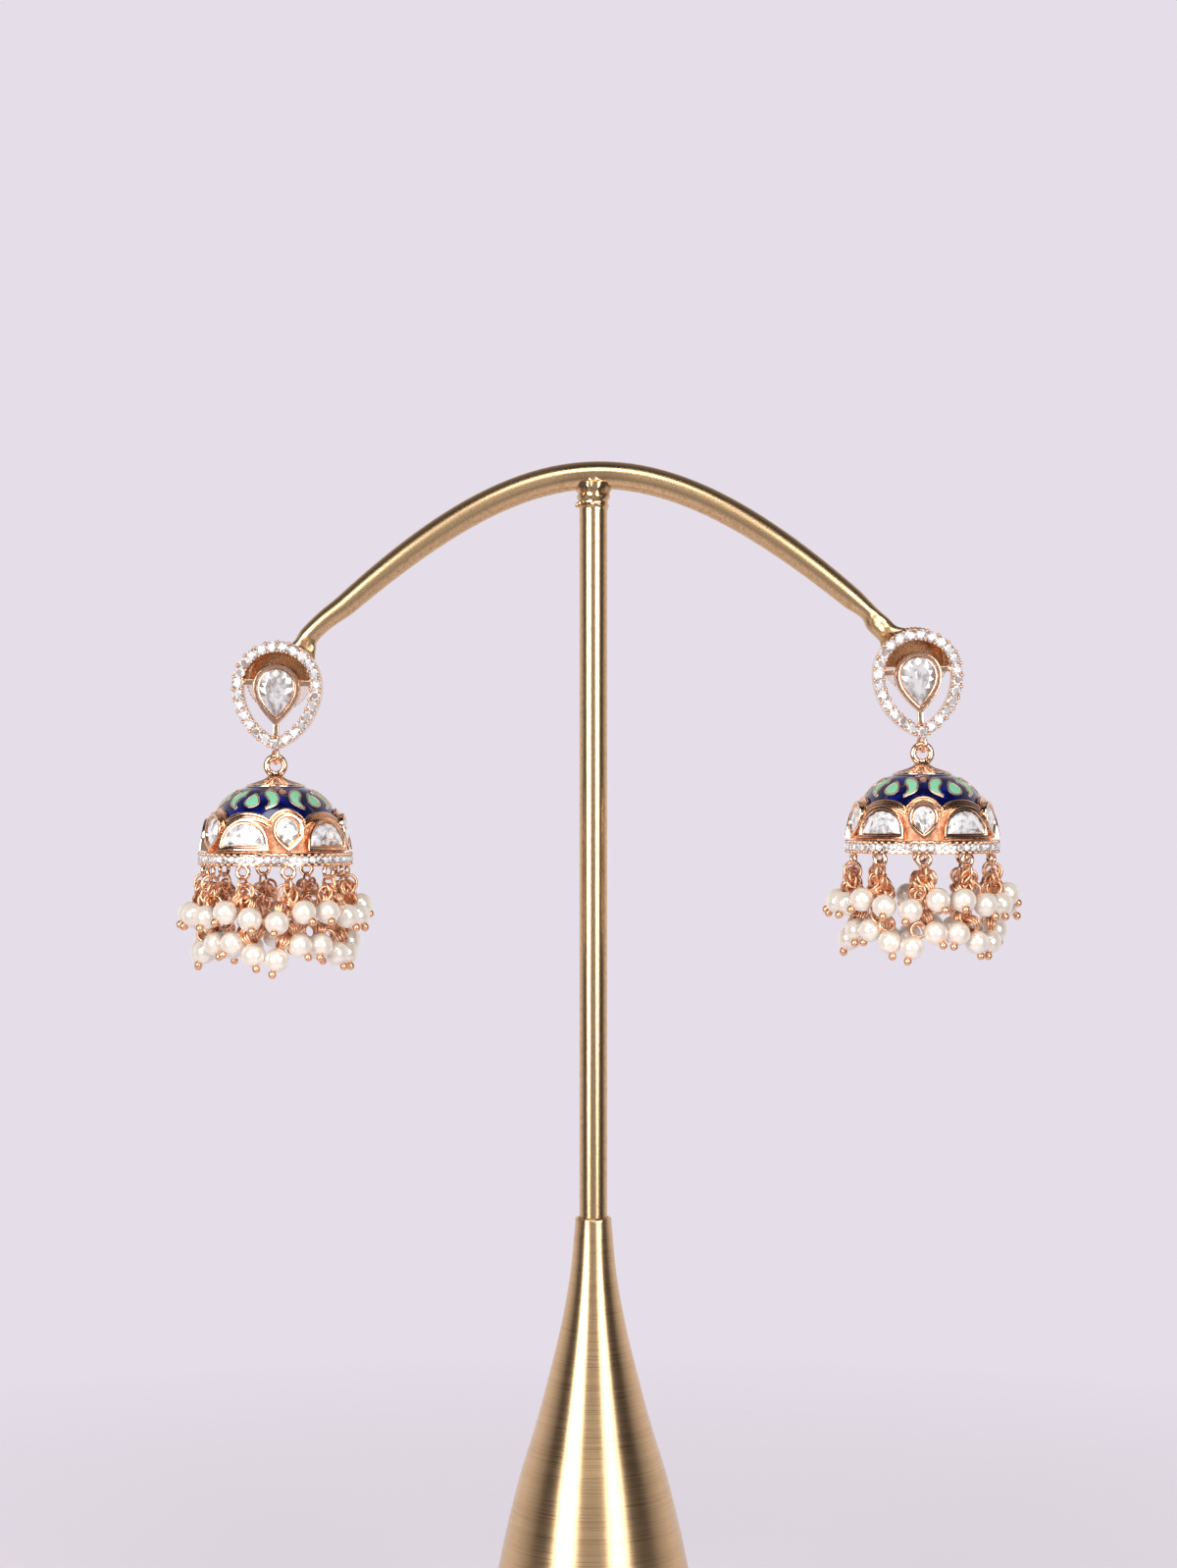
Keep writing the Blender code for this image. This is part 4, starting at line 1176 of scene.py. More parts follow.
def halo_stones(side, front):
    """The halo's round stones, each a little askew."""
    stud = look().stud
    askew = 0.09
    dice = random.Random(EARRINGS[side]["seed"])
    stone = cut_stone(
        "stone", oval(stud.stone_radius, stud.stone_radius, 16),
        rise=0.42 * MM, depth=0.5 * MM, seed=1, table=0.56)
    places = []
    for point, _ in even(halo_outline(stud.halo_band * 0.5, 96), HALO_STONES, 0.5):
        nod = Matrix.Rotation(dice.uniform(-askew, askew), 4, "X")
        lean = Matrix.Rotation(dice.uniform(-askew, askew), 4, "Z")
        spin = Matrix.Rotation(dice.uniform(0.0, math.tau), 4, "Y")
        spot = Matrix.Translation((point.x, front + 0.22 * MM, point.y))
        places.append(spot @ nod @ lean @ spin)
    return copies(side + "_halo_stones", stone, places)


def halo_beads(front):
    """Pairs of beads between the halo's stones, one at each edge of the band."""
    stud = look().stud
    band = stud.halo_band
    tall = Matrix.Diagonal((1.0, 1.25, 1.0, 1.0))
    places = []
    for point, direction in even(halo_outline(band * 0.5, 96), HALO_STONES, 1.0):
        outward = Vector((direction.y, -direction.x))
        for sign in (-1.0, 1.0):
            spot = point + outward * sign * (band * 0.5 - 0.24 * MM)
            places.append(Matrix.Translation((spot.x, front + 0.02 * MM, spot.y)) @ tall)
    return copies("beads", ball("bead", stud.bead_radius, Matrix.Identity(4), 12, 8), places)


def halo_bars(front):
    """The two side bars and the lower bar that carry the centre bezel."""
    stud = look().stud
    depth, bevel, y = 1.3 * MM, 0.1 * MM, front + 1.0 * MM
    bars = []
    low, high = stud.bezel_radius - 0.3 * MM, stud.halo_radius - stud.halo_band + 0.35 * MM
    for sign in (-1.0, 1.0):
        spot = Matrix.Translation((sign * (low + high) * 0.5, y, 0.45 * MM))
        bars.append(block("bar", (high - low, depth, stud.bar), spot, bevel))
    low, high = -stud.halo_tip + stud.halo_band * 1.05, -stud.bezel_tip - stud.bezel_sink + 0.3 * MM
    spot = Matrix.Translation((0.0, y, (low + high) * 0.5))
    bars.append(block("bar", (stud.bar, depth, high - low), spot, bevel))
    return bars


def make_stud(side):
    stud = look().stud
    place = halo_place(side)
    front, back = -stud.halo_depth * 0.5, stud.halo_depth * 0.5
    ring = halo_ring(front, back)
    beads = halo_beads(front)
    stones = halo_stones(side, front)
    bezel_front = front - stud.bezel_rise
    rows = [(centre_outline(0.12 * MM), back), (centre_outline(0.0), back - 0.15 * MM)]
    rows += [(centre_outline(inset * MM), bezel_front + behind * MM) for inset, behind in BEZEL_SECTION]
    bezel = relief("bezel", rows)
    gem = cut_stone(
        "gem", centre_outline(0.80 * MM, 12),
        rise=0.50 * MM, depth=0.3 * MM, seed=7, table=0.60, uneven=0.06)
    sink = Matrix.Translation((0.0, 0.0, -stud.bezel_sink))
    bezel.data.transform(sink)
    gem.data.transform(place @ sink @ Matrix.Translation((0.0, bezel_front + 0.36 * MM, 0.0)))
    gem.name = side + "_centre_gem"
    bars = halo_bars(front)
    # The link loop stands edge on under the tip, turned a little so that its opening shows
    link_z = -stud.halo_tip - stud.link_radius + stud.link_wire + 0.1 * MM
    upright = (Matrix.Translation((0.0, 0.0, link_z))
               @ Matrix.Rotation(math.radians(24.0), 4, "Z") @ Matrix.Rotation(math.pi / 2, 4, "Y"))
    link = torus("link", stud.link_radius, stud.link_wire, upright, 40, 12)
    post_z = EARRINGS[side]["halo_drop"]
    end = (0.0, back + stud.ear_post_length, post_z)
    pin = rod("ear_post", stud.ear_post, (0.0, back - 0.3 * MM, post_z), end, 20)
    tip_ball = ball("post_tip", stud.ear_post, Matrix.Translation(end), 20, 10)
    metal = joined(side + "_halo", [ring, beads, bezel, link, pin, tip_ball] + bars)
    metal.data.transform(place)
    stones.data.transform(place)
    dressed(metal, "rose_gold", "stand")
    dressed(painted_facet_light(stones, 5, dark_share=0.48), "small_stone", "stand", smooth=0.0)
    painted_facet_light(gem, EARRINGS[side]["seed"], dark_share=0.45)
    dressed(gem, "centre_stone", "stand", smooth=0.0)
    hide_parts(side + "_stud")
    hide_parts(side + "_centre_stone")


def make_clutch(side):
    stud = look().stud
    low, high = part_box(side + "_clutch")
    middle, half = (low.y + high.y) * 0.5, (high.y - low.y) * 0.5
    hole, rib_height = 0.5 * MM, 0.10 * MM
    ease_in, ease_along = 0.35 * MM, 0.3 * MM
    steps = CLUTCH_RIBS * 8
    rings = []
    for i in range(steps):
        angle = math.tau * i / steps
        rib = rib_height * max(0.0, math.cos(CLUTCH_RIBS * angle))
        edge = stud.clutch_radius - rib_height + rib
        section = [(hole, -half), (edge - ease_in, -half), (edge, -half + ease_along),
                   (edge, half - ease_along), (edge - ease_in, half), (hole, half)]
        rings.append([(radius * math.cos(angle), y, radius * math.sin(angle)) for radius, y in section])
    clutch = skin(side + "_clear_clutch", rings, closed=True)
    clutch.data.transform(Matrix.Translation(((low.x + high.x) * 0.5, middle, (low.z + high.z) * 0.5)))
    dressed(clutch, "clear_plastic", "stand", smooth=30.0)
    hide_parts(side + "_clutch")


# Cap and bell

def make_cap(side):
    bell = look().bell
    top, bottom, radius = bell.cap_top, bell.cap_bottom, bell.cap_radius
    wire = bell.bail_wire
    curve = [
        (wire * 1.5, -top + wire * 0.5), (wire * 1.75, -top - wire * 0.1),
        (radius * 0.36, -top - (bottom - top) * 0.38), (radius * 0.66, -top - (bottom - top) * 0.64),
        (radius * 0.97, -bottom + 0.26 * MM)]
    sides = [(point.x, point.y) for point in smooth_path(curve, 6)]
    rim = [(radius, -bottom + 0.16 * MM), (radius, -bottom + 0.04 * MM), (radius - 0.1 * MM, -bottom)]
    cone = turned("cone", [(0.0, -top + wire * 0.7)] + sides + rim + [(0.0, -bottom)], 160)
    # Flutes that deepen outwards and run out just before the rim
    for vertex in cone.data.vertices:
        out = vertex.co.xy.length
        if vertex.co.z > -bottom + 0.1 * MM and out > wire:
            angle = math.atan2(vertex.co.y, vertex.co.x)
            share = min(1.0, out / radius)
            wave = 0.5 + 0.5 * math.cos(CAP_FLUTES * angle)
            vertex.co.z -= bell.flute_depth * share * wave * (1.0 - share ** 8)
    bail = torus("bail", bell.bail_radius, wire, Matrix.Rotation(math.pi / 2, 4, "X"), 56, 20)
    cap = joined(side + "_fluted_cap", [cone, bail])
    cap.data.transform(Matrix.Translation(bail_place(side)))
    dressed(cap, "rose_gold", side + "_drop", smooth=60.0)
    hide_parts(side + "_cap")


def dome_curve():
    """Outer profile of the bell as points (radius, depth), top first."""
    bell = look().bell
    swell = bell.dome_radius - bell.shoulder
    rows = [(bell.shoulder + swell * row["swell"], bell.dome_top + bell.dome_height * row["depth"])
            for row in DOME_PROFILE]
    return smooth_path(rows, 6)


def dome_at(depth):
    """Radius of the bell's outside at a depth, and the outward normal as (radial, down)."""
    curve = dome_curve()
    for a, b in zip(curve, curve[1:]):
        if depth <= b.y:
            break
    share = (depth - a.y) / (b.y - a.y)
    slope = (b - a).normalized()
    return a.x + (b.x - a.x) * share, Vector((slope.y, -slope.x))


def ring_point(radius, azimuth, depth):
    return Vector((radius * math.sin(azimuth), -radius * math.cos(azimuth), -depth))


def on_dome(azimuth, depth, lift):
    """A point lifted off the bell's outside along its normal."""
    radius, normal = dome_at(depth)
    return ring_point(radius + normal.x * lift, azimuth, depth + normal.y * lift)


def setting_azimuth(side, i):
    return math.radians(EARRINGS[side]["turn"]) + math.tau * i / SETTINGS


def scallop_depth(side, azimuth):
    """Depth of the crest's upper edge: an arch over every setting, cusps between."""
    pitch = math.tau / (SETTINGS // 2)
    pear_half = math.radians(SCALLOPS["pear_half"])
    turn = (azimuth - setting_azimuth(side, 0)) % math.tau % pitch
    if turn > pitch * 0.5:
        turn = pitch - turn
    if turn < pear_half:
        kind, share = "pear", turn / pear_half
    else:
        kind, share = "moon", (pitch * 0.5 - turn) / (pitch * 0.5 - pear_half)
    cusp, top = SCALLOPS["cusp"] * MM, SCALLOPS[kind + "_top"] * MM
    return cusp - (cusp - top) * max(0.0, 1.0 - share * share) ** SCALLOPS[kind + "_fullness"]


def make_bell(side):
    bell = look().bell
    place = Matrix.Translation(bail_place(side))
    wall = bell.dome_wall
    outer = [(point.x, -point.y) for point in dome_curve()]
    # The inside lies a wall further in, and lower towards the top, where it ends under the cap
    inner = []
    for x, z in outer[4:-1]:
        height = max(0.0, 1.0 + (z + bell.dome_top) / bell.dome_height)
        inner.append((x - wall, z - wall * 0.45 * height))
    inner.append((bell.dome_radius - wall, outer[-1][1]))
    profile = [(0.0, outer[0][1])] + outer + list(reversed(inner)) + [(0.0, inner[0][1])]
    dome = turned(side + "_enamel_bell", profile, 120)
    dome.data.transform(place)
    dressed(dome, "blue_enamel", side + "_drop", smooth=50.0)
    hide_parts(side + "_dome")
    make_skirt(side, place)
    make_motifs(side, place)


def make_skirt(side, place):
    """Gold skirt with its scalloped double crest; below it, in the hollows between the settings,
    rough-cast metal painted darker as shade.
    """
    bell = look().bell
    steps = 360
    bottom = bell.dome_top + bell.dome_height - 0.02 * MM
    lift = bell.skirt_thickness
    rings = []
    for i in range(steps):
        azimuth = math.tau * i / steps
        top = scallop_depth(side, azimuth)
        ring = [on_dome(azimuth, top + down * MM, off * MM) for down, off in CREST_SECTION]
        ring.append(on_dome(azimuth, (top + bottom) * 0.5 + 0.5 * MM, lift))
        ring.append(on_dome(azimuth, bottom, lift))
        ring.append(on_dome(azimuth, bottom, -0.05 * MM))
        rings.append(ring)
    skirt = skin(side + "_gold_skirt", rings, closed=True)
    skirt.data.transform(place)
    dressed(skirt, "rose_gold", side + "_drop", smooth=60.0)
    skirt.data.materials.append(material("copper_hollow"))
    crest_height = CREST_SECTION[-1][0] * MM
    centre = place.translation
    # Faces below the crest lie in the hollows and take the darker finish with its painted shade
    for face in skirt.data.polygons:
        azimuth = math.atan2(face.center.x - centre.x, centre.y - face.center.y)
        if centre.z - face.center.z > scallop_depth(side, azimuth) + crest_height:
            face.material_index = 1


def motif_shapes():
    """Outlines (across, down) in millimetres from a motif's centre: a drop and a crescent."""
    count = 32
    drop = []
    for i in range(count):
        angle = math.tau * i / count
        across = DROP_SIZE["across"] * math.sin(angle) * math.sin(angle * 0.5) ** 0.6
        drop.append((across, -DROP_SIZE["down"] * math.cos(angle)))
    sides = smooth_path(CRESCENT_BACK, 6)[:-1] + smooth_path(CRESCENT_HOLLOW, 6)[:-1]
    return drop, [(point.x, point.y) for point in sides]


def shrunk(outline, margin):
    """The outline moved inwards by a margin, point by point."""
    count = len(outline)
    area = sum(outline[i - 1][0] * outline[i][1] - outline[i][0] * outline[i - 1][1] for i in range(count))
    sign = 1.0 if area > 0 else -1.0
    result = []
    for i in range(count):
        ahead = Vector(outline[(i + 1) % count]) - Vector(outline[i - 1])
        normal = Vector((-ahead.y, ahead.x)).normalized() * sign
        result.append(tuple(Vector(outline[i]) + normal * margin))
    return result


def patch(name, azimuth, down, outline, mirror, rows):
    """A low relief on the bell: rows of (margin, share, lift) of an outline round a centre.

    share draws the outline in towards its own middle, so that a wide patch follows the bell.
    """
    centre = look().bell.dome_top + down * MM
    radius, _ = dome_at(centre)
    middle = sum((Vector(point) for point in outline), Vector((0.0, 0.0))) / len(outline)
    # The bell slopes away where the motifs lie, so their height is spread over less depth
    slope = 0.80
    rings = []
    for margin, share, lift in rows:
        ring = []
        for point in shrunk(outline, margin):
            across, below = middle.lerp(Vector(point), share)
            turn = azimuth + across * mirror * MM / radius
            ring.append(on_dome(turn, centre + below * slope * MM, lift * MM))
        rings.append(ring)
    shape = skin(name, rings)
    apply_modifier(shape, "TRIANGULATE")
    return shape


def make_motifs(side, place):
    """Mint drops and crescents in gold outlines, and gold dots, above the scalloped edge."""
    drop, crescent = motif_shapes()
    dot = oval(DOT_SIZE["across"], DOT_SIZE["down"], 16)
    rims, fills = [], []
    for i in range(SETTINGS):
        azimuth = setting_azimuth(side, i)
        if i % 2 == 0:
            rims.append(patch("dot", azimuth, MOTIF_DEPTHS["dot"], dot, 1.0, DOT_ROWS))
            continue
        motifs = [(azimuth, MOTIF_DEPTHS["drop"], drop, 1.0)]
        for mirror in (-1.0, 1.0):
            off = azimuth + mirror * math.radians(CRESCENT_ANGLE)
            motifs.append((off, MOTIF_DEPTHS["crescent"], crescent, mirror))
        for motif in motifs:
            rims.append(patch("rim", *motif, RIM_ROWS))
            fills.append(patch("fill", *motif, FILL_ROWS))
    gold = joined(side + "_motif_rims", rims)
    gold.data.transform(place)
    dressed(gold, "satin_gold", side + "_drop", smooth=50.0)
    mint = joined(side + "_motif_enamel", fills)
    mint.data.transform(place)
    dressed(mint, "mint_enamel", side + "_drop", smooth=50.0)


def pear_setting(inset, count=32):
    bell = look().bell
    tip = bell.pear_height - bell.pear_width * 0.5
    return pear_outline(bell.pear_width * 0.5, tip, inset, count, 0.6)


def moon_setting(inset, count=32):
    bell = look().bell
    return moon_outline(bell.moon_width, bell.moon_height, inset, count)


def seated(item, azimuth, lift):
    """Lean a setting with the bell's side and put it halfway between flat and bent round it."""
    bell = look().bell
    leaning = Matrix.Rotation(-math.radians(SETTING_LEAN), 4, "X")
    item.data.transform(leaning @ Matrix.Translation((0.0, 0.0, lift)))
    for vertex in item.data.vertices:
        out = bell.dome_radius + bell.setting_gap - vertex.co.y
        low = bell.setting_foot - vertex.co.z
        bend_radius = out + vertex.co.y + bell.setting_depth
        bent = ring_point(out, azimuth + vertex.co.x / bend_radius, low)
        flat = around(azimuth) @ Vector((vertex.co.x, -out, -low))
        vertex.co = bent.lerp(flat, 0.5)


def make_settings(side):
    bell = look().bell
    place = Matrix.Translation(bail_place(side))
    depth = bell.setting_depth
    seed = EARRINGS[side]["seed"]
    pear_lift = bell.pear_height - bell.pear_width * 0.5
    metals, gems, nodes = [], [], []
    kinds = (("pear", pear_setting, 0, pear_lift), ("half_moon", moon_setting, 1, 0.0))
    for kind, outline, start, lift in kinds:
        rows = [(outline(0.0), 0.45 * MM)]
        rows += [(outline(inset * MM), -depth * share) for inset, share in SETTING_SECTION]
        gem_outline = outline(0.72 * MM, 8)
        if len(gem_outline) % 2:
            gem_outline = gem_outline[:-1]
        for i in range(start, SETTINGS, 2):
            metal = relief("bezel", rows)
            gem = cut_stone(
                "gem", gem_outline,
                rise=0.42 * MM, depth=0.1 * MM, seed=31 * i + seed, table=0.55, uneven=0.12)
            gem.data.transform(Matrix.Translation((0.0, -depth * 0.66, 0.0)))
            for item in (metal, gem):
                seated(item, setting_azimuth(side, i), lift)
                item.data.transform(place)
            metals.append(metal)
            gems.append(gem)
            nodes.append("{}_{}_{}".format(side, kind, i // 2 + 1))
    metal = joined(side + "_bezels", metals)
    dressed(metal, "rose_gold", side + "_drop")
    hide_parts(*nodes)
    gems = painted_facet_light(joined(side + "_bell_gems", gems), seed, dark_share=0.22)
    dressed(gems, "large_stone", side + "_drop", smooth=0.0)


def make_band(side):
    bell = look().bell
    place = Matrix.Translation(bail_place(side))
    radius, top, bottom = bell.band_radius, bell.band_top, bell.band_bottom
    face = radius - 0.28 * MM
    inner = radius - 1.5 * MM
    ease = 0.1 * MM
    upper = -top + 0.02 * MM
    profile = [(inner, upper), (face - ease, upper), (face, -top - ease), (face, -bottom + ease),
               (face - ease, -bottom), (inner, -bottom)]
    band = turned("band", profile, 144)
    middle = (top + bottom) * 0.5
    askew = 0.12
    dice = random.Random(EARRINGS[side]["seed"] + 1)
    stone_places, bead_places, loop_places = [], [], []
    for i in range(BAND_STONES):
        azimuth = math.tau * i / BAND_STONES
        lean = Matrix.Rotation(dice.uniform(-askew, askew), 4, "Z")
        nod = Matrix.Rotation(dice.uniform(-askew, askew), 4, "X")
        spin = Matrix.Rotation(dice.uniform(0.0, math.tau), 4, "Y")
        spot = Matrix.Translation((0.0, -face - 0.02 * MM, -middle))
        stone_places.append(around(azimuth) @ spot @ lean @ nod @ spin)
        for edge in (-1.0, 1.0):
            spot = Matrix.Translation((0.0, -face - 0.06 * MM, -middle + edge * 0.68 * MM))
            bead_places.append(around(azimuth + math.pi / BAND_STONES) @ spot)
    sunk = 0.06 * MM
    hang = Matrix.Translation((0.0, -radius + bell.loop_inset, -bottom - bell.loop_radius + sunk))
    for i in range(SETTINGS):
        facing = Matrix.Rotation(math.pi / 2, 4, "X")
        loop_places.append(around(setting_azimuth(side, i)) @ hang @ facing)
    stone = cut_stone(
        "stone", oval(bell.band_stone, bell.band_stone, 12),
        rise=0.30 * MM, depth=0.2 * MM, seed=3, table=0.56)
    bead = ball("bead", bell.band_bead, Matrix.Identity(4), 10, 6)
    loop = torus("loop", bell.loop_radius, bell.loop_wire, Matrix.Identity(4), 32, 12)
    metal = joined(side + "_stone_band", [
        band, copies("beads", bead, bead_places), copies("loops", loop, loop_places)])
    metal.data.transform(place)
    dressed(metal, "rose_gold", side + "_drop")
    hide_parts(side + "_band")
    stones = copies(side + "_band_stones", stone, stone_places)
    stones.data.transform(place)
    dressed(painted_facet_light(stones, 6, dark_share=0.45), "small_stone", side + "_drop", smooth=0.0)


# Fringe

def aimed(point, axis, spin=0.0):
    """A place at a point with Z along an axis."""
    turn = Vector(axis).to_track_quat("Z", "Y").to_matrix().to_4x4()
    return Matrix.Translation(point) @ turn @ Matrix.Rotation(spin, 4, "Z")


def hang_chain(azimuth, dice, parts):
    """A drop's jump ring, the bunch of rings at its upper knot and the chain to its lower one."""
    bell, fringe = look().bell, look().fringe
    out = ring_point(1.0, azimuth, 0.0)
    along = Vector((math.cos(azimuth), math.sin(azimuth), 0.0))
    loop_reach = 1.62 * MM
    hook = ring_point(bell.band_radius - bell.loop_inset, azimuth, bell.band_bottom + loop_reach)
    jump = hook + DOWN * 0.98 * MM + out * 0.1 * MM
    upper_knot = jump + DOWN * 1.1 * MM
    knot_inwards, knot_above = 0.9 * MM, 3.1 * MM
    lower_knot = ring_point(fringe.lower_ring - knot_inwards, azimuth, fringe.lower_depth - knot_above)
    parts["jumps"].append(aimed(jump, along + out * dice.uniform(-0.25, 0.25)))
    # The chain's rings are turned a quarter from one another
    for k in range(CHAIN_RINGS):
        share = (k + 0.35) / CHAIN_RINGS
        spot = upper_knot.lerp(lower_knot, share) + along * dice.uniform(-0.3, 0.3) * MM
        axis = out if k % 2 == 0 else along
        parts["rings"].append(aimed(spot, axis + DOWN * dice.uniform(-0.25, 0.25)))
    for _ in range(KNOT_RINGS):
        spot = upper_knot + along * dice.uniform(-0.9, 0.9) * MM + DOWN * dice.uniform(-0.5, 0.5) * MM
        axis = along * dice.uniform(-1, 1) + out * dice.uniform(-1, 1) + DOWN * 0.2
        parts["rings"].append(aimed(spot, axis))
    return upper_knot, lower_knot


def hang_pearl(centre, knot, out, push, dice, parts):
    """A pearl on its head pin, with a coiled eye above it.

    The pin points away from the knot and leans outwards by the push.
    """
    fringe = look().fringe
    pin = ((centre - knot).normalized() + out * push).normalized()
    parts["pearls"].append(aimed(centre, pin, dice.uniform(0.0, math.tau)))
    parts["heads"].append(aimed(centre + pin * (fringe.pearl + fringe.head * 0.72), pin))
    eye = centre - pin * (fringe.pearl + fringe.eye * 0.92)
    low, high = centre - pin * (fringe.pearl - 0.2 * MM), eye + pin * fringe.eye * 0.9
    parts["pins"].append(rod("pin", fringe.wire, low, high, 8))
    # The eye is a coil of three turns, seen face on or edge on
    lean = (Matrix.Rotation(dice.uniform(0.0, math.pi), 3, pin) @ pin.orthogonal()).normalized()
    for wrap in (-1.0, 0.0, 1.0):
        axis = (lean + pin * 0.12 * wrap).normalized()
        parts["rings"].append(aimed(eye + lean * wrap * fringe.wire * 2.1, axis))


def make_fringe(side):
    fringe = look().fringe
    dice = random.Random(EARRINGS[side]["seed"] + 2)
    place = Matrix.Translation(bail_place(side))
    pitch = math.pi / (2 * SETTINGS)
    parts = {"jumps": [], "rings": [], "pearls": [], "heads": [], "pins": []}
    for i, hang in enumerate(FRINGE_HANG):
        azimuth = setting_azimuth(side, i)
        out = ring_point(1.0, azimuth, 0.0)
        upper_knot, lower_knot = hang_chain(azimuth, dice, parts)
        levels = (("upper", fringe.upper_ring, fringe.upper_depth, upper_knot, (0.05, 0.55)),
                  ("lower", fringe.lower_ring, fringe.lower_depth, lower_knot, (-0.25, 0.25)))
        for level, radius, deep, knot, pushes in levels:
            for sign, letter in ((-1.0, "a"), (1.0, "b")):
                low = hang[level + "_" + letter] * fringe.pearl
                centre = ring_point(radius, azimuth + sign * pitch, deep + low)
                hang_pearl(centre, knot, out, dice.uniform(*pushes), dice, parts)
    pearls = copies(side + "_pearls", drilled_pearl(), parts["pearls"])
    pearls.data.transform(place)
    dressed(pearls, "pearl_lustre", side + "_drop", smooth=60.0)
    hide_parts(*["{}_fringe_{}".format(side, i + 1) for i in range(SETTINGS)])
    head = ball("head", fringe.head, Matrix.Identity(4), 16, 12)
    jump_ring = torus("jump", fringe.jump, fringe.wire, Matrix.Identity(4), 30, 8)
    ring = torus("eye", fringe.eye, fringe.wire, Matrix.Identity(4), 22, 8)
    wires = joined(side + "_fringe_wires", parts["pins"] + [
        copies("heads", head, parts["heads"]), copies("jumps", jump_ring, parts["jumps"]),
        copies("eyes", ring, parts["rings"])])
    wires.data.transform(place)
    dressed(wires, "wire_gold", side + "_drop", smooth=60.0)


def drilled_pearl():
    """A pearl whose drilled ends are slightly dimpled."""
    radius = look().fringe.pearl
    dimple, depth = 0.3, 0.05
    pearl = ball("pearl", radius, Matrix.Identity(4), 36, 24)
    for vertex in pearl.data.vertices:
        near = vertex.co.xy.length / radius
        if near < dimple:
            vertex.co.z *= 1.0 - depth * (1.0 - near / dimple)
    return pearl


# Stage

def make_stage():
    scene = bpy.context.scene
    scene.view_settings.view_transform = "Standard"
    camera = bpy.data.objects.new("camera", bpy.data.cameras.new("camera"))
    scene.collection.objects.link(camera)
    scene.camera = camera
    # Level with the bells and square on; the frame is 224.7 mm high in the stand's plane
    distance, frame_height = 0.425, 0.2247
    aside, level = -0.0007, 0.140
    camera.location = (aside, -distance, level)
    camera.rotation_euler = (math.pi / 2, 0.0, 0.0)
    camera.data.lens = camera.data.sensor_width * distance / frame_height
    camera.data.clip_start = 0.01
    camera.data.clip_end = 20.0
    deselect()
    bpy.ops.mesh.primitive_circle_add(vertices=96, radius=2.5, fill_type="NGON")
    floor = added("floor")
    floor.data.materials.append(material("pale_floor"))
    make_world()
    for name, light in LIGHTS.items():
        add_light(name, **light)


def make_world():
    """The backdrop's colour for the camera; for light and reflections, a room with dim sides."""
    world = bpy.data.worlds.new("studio")
    bpy.context.scene.world = world
    world.use_nodes = True
    world.node_tree.nodes.clear()
    room = Graph(world.node_tree)
    direction = room.node("ShaderNodeTexCoord", output="Generated")
    backwards = room.node("ShaderNodeSeparateXYZ", {}, {0: direction}, "Y") * 0.5 + 0.5
    stops = [(share, (level, level * 0.96, level, 1.0)) for share, level in ROOM_LEVELS]
    walls = room.node("ShaderNodeValToRGB", {"stops": stops}, {0: backwards})
    # The ceiling is dim
    upwards = room.node("ShaderNodeSeparateXYZ", {}, {0: direction}, "Z")
    strength = room.ramp(upwards, 0.35, 0.75, 1.0, 0.30)
    lit = room.node("ShaderNodeBackground", {}, {"Color": walls, "Strength": strength})
    seen = room.node("ShaderNodeBackground", {}, {"Color": tint("backdrop")})
    camera_ray = room.node("ShaderNodeLightPath", output="Is Camera Ray")
    mix = room.node("ShaderNodeMixShader", {}, {0: camera_ray, 1: lit, 2: seen})
    output = world.node_tree.nodes.new("ShaderNodeOutputWorld")
    room.plug(output.inputs["Surface"], mix)


def add_light(name, place, width, height, power):
    light = bpy.data.lights.new(name, "AREA")
    light.shape = "ELLIPSE"
    light.size = width
    light.size_y = height
    light.energy = power
    item = bpy.data.objects.new(name, light)
    bpy.context.scene.collection.objects.link(item)
    item.location = place
    bells = Vector((0.0, 0.0, 0.13))
    item.rotation_euler = (bells - Vector(place)).to_track_quat("-Z", "Y").to_euler()


# Operators

class ForBothEarrings:
    """Makes the operator's pieces for one earring and then for the other."""
    makers = ()

    def execute(self, context):
        for side in EARRINGS:
            for make in self.makers:
                make(side)
        return {"FINISHED"}


class JHUMKA_OT_stand(bpy.types.Operator):
    """Dress the stand: turned foot, post and beaten arched arm"""
    bl_idname = "jhumka.stand"
    bl_label = "Stand"

    def execute(self, context):
        make_foot()
        make_arm()
        return {"FINISHED"}


class JHUMKA_OT_studs(ForBothEarrings, bpy.types.Operator):
    """Make both studs: halo, stones, centre setting, link loop, ear post and clutch"""
    bl_idname = "jhumka.studs"
    bl_label = "Studs"
    makers = (make_stud, make_clutch)


class JHUMKA_OT_caps(ForBothEarrings, bpy.types.Operator):
    """Make both fluted caps with their bail rings"""
    bl_idname = "jhumka.caps"
    bl_label = "Caps"
    makers = (make_cap,)


class JHUMKA_OT_bells(ForBothEarrings, bpy.types.Operator):
    """Make both enamelled bells with their gold skirts and motifs"""
    bl_idname = "jhumka.bells"
    bl_label = "Bells"
    makers = (make_bell,)


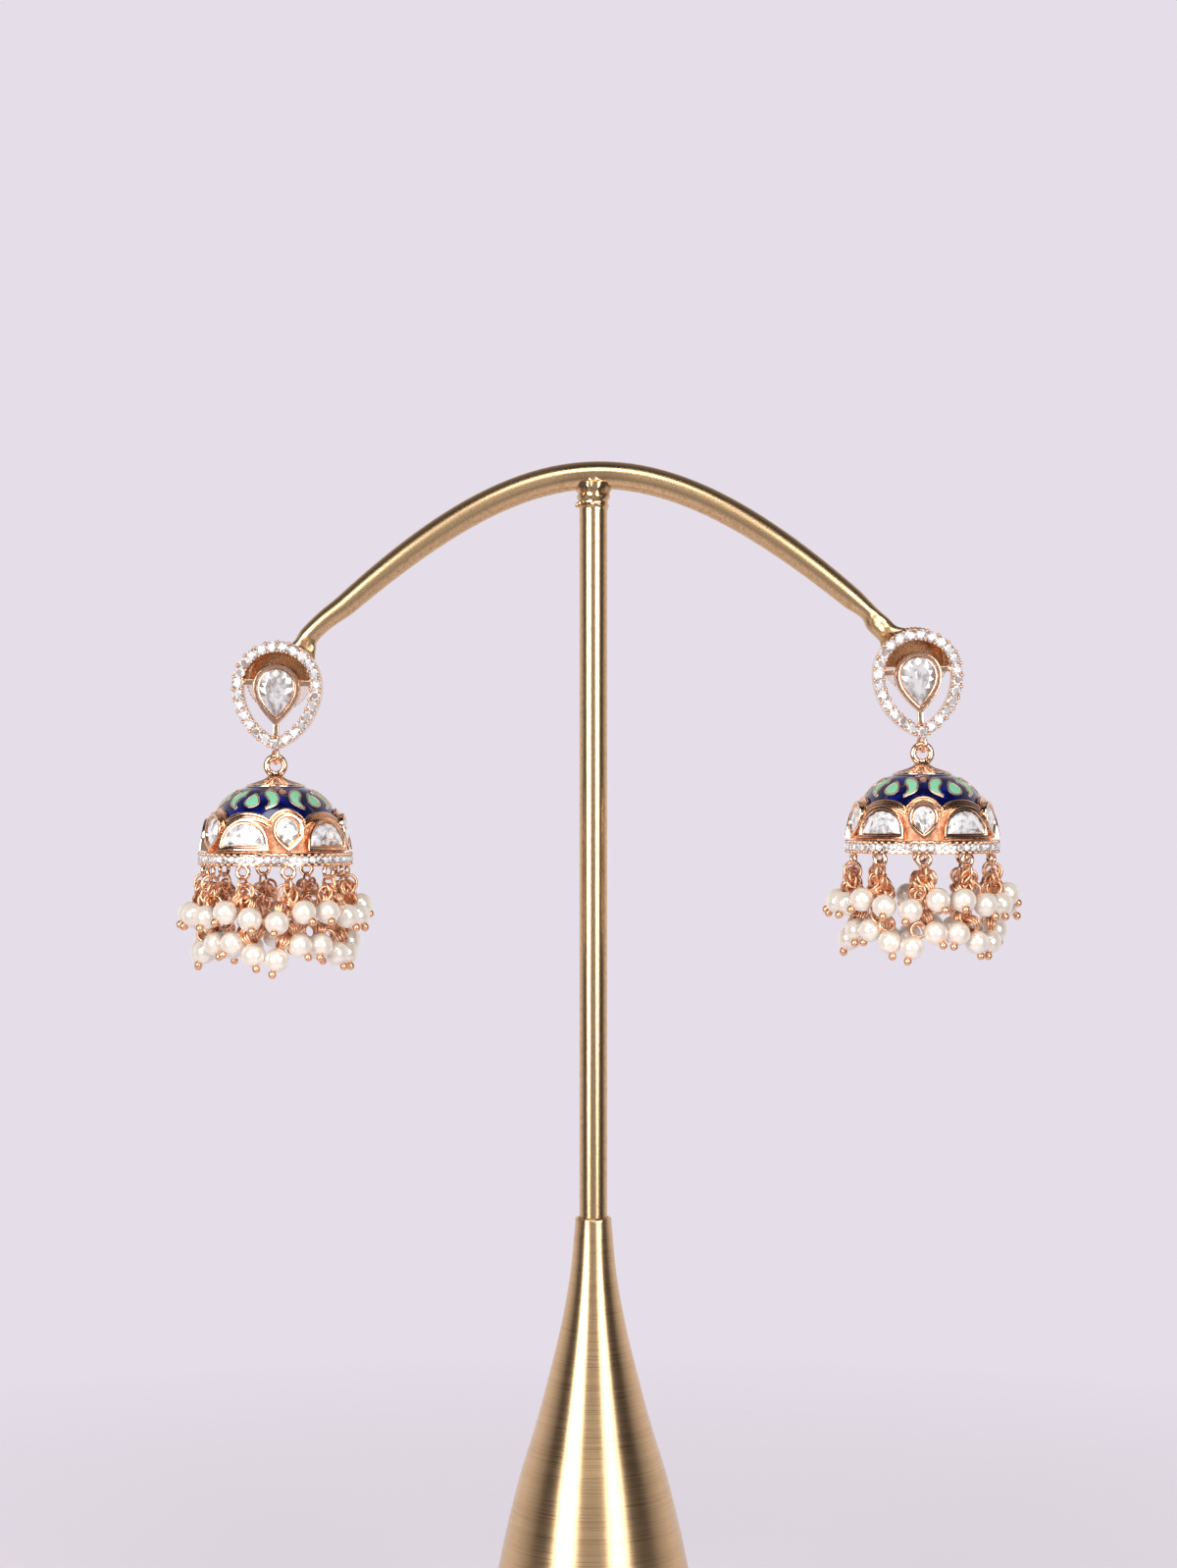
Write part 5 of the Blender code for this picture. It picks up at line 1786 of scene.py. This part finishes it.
class JHUMKA_OT_settings(ForBothEarrings, bpy.types.Operator):
    """Make the half-moon and pear settings round both bells"""
    bl_idname = "jhumka.settings"
    bl_label = "Settings"
    makers = (make_settings,)


class JHUMKA_OT_bands(ForBothEarrings, bpy.types.Operator):
    """Make both bands of small stones with their fixed loops"""
    bl_idname = "jhumka.bands"
    bl_label = "Bands"
    makers = (make_band,)


class JHUMKA_OT_fringes(ForBothEarrings, bpy.types.Operator):
    """Make both pearl fringes with their rings, eyes and pins"""
    bl_idname = "jhumka.fringes"
    bl_label = "Fringes"
    makers = (make_fringe,)


class JHUMKA_OT_stage(bpy.types.Operator):
    """Set the pale floor, the studio light and the camera"""
    bl_idname = "jhumka.stage"
    bl_label = "Stage"

    def execute(self, context):
        make_stage()
        return {"FINISHED"}


PIECE_OPERATORS = (
    JHUMKA_OT_stand,
    JHUMKA_OT_studs,
    JHUMKA_OT_caps,
    JHUMKA_OT_bells,
    JHUMKA_OT_settings,
    JHUMKA_OT_bands,
    JHUMKA_OT_fringes,
    JHUMKA_OT_stage,
)


class JHUMKA_PT_pieces(bpy.types.Panel):
    """Lists the pieces and their sizes in the sidebar"""
    bl_label = "Jhumka earrings"
    bl_idname = "JHUMKA_PT_pieces"
    bl_space_type = "VIEW_3D"
    bl_region_type = "UI"
    bl_category = "Jhumka"

    def draw(self, context):
        for operator in PIECE_OPERATORS:
            self.layout.operator(operator.bl_idname)
        for group in (look().stand, look().stud, look().bell, look().fringe, look().finish):
            box = self.layout.box()
            for name in group.__annotations__:
                box.prop(group, name)


GROUPS = (StandLook, StudLook, BellLook, FringeLook, FinishLook, JhumkaLook)


def register():
    for group in GROUPS + PIECE_OPERATORS + (JHUMKA_PT_pieces,):
        bpy.utils.register_class(group)
    bpy.types.Scene.jhumka_look = PointerProperty(type=JhumkaLook)


def unregister():
    del bpy.types.Scene.jhumka_look
    for group in reversed(GROUPS + PIECE_OPERATORS + (JHUMKA_PT_pieces,)):
        bpy.utils.unregister_class(group)


def main():
    register()
    for operator in PIECE_OPERATORS:
        group, name = operator.bl_idname.split(".")
        getattr(getattr(bpy.ops, group), name)()


if __name__ == "__main__":
    main()
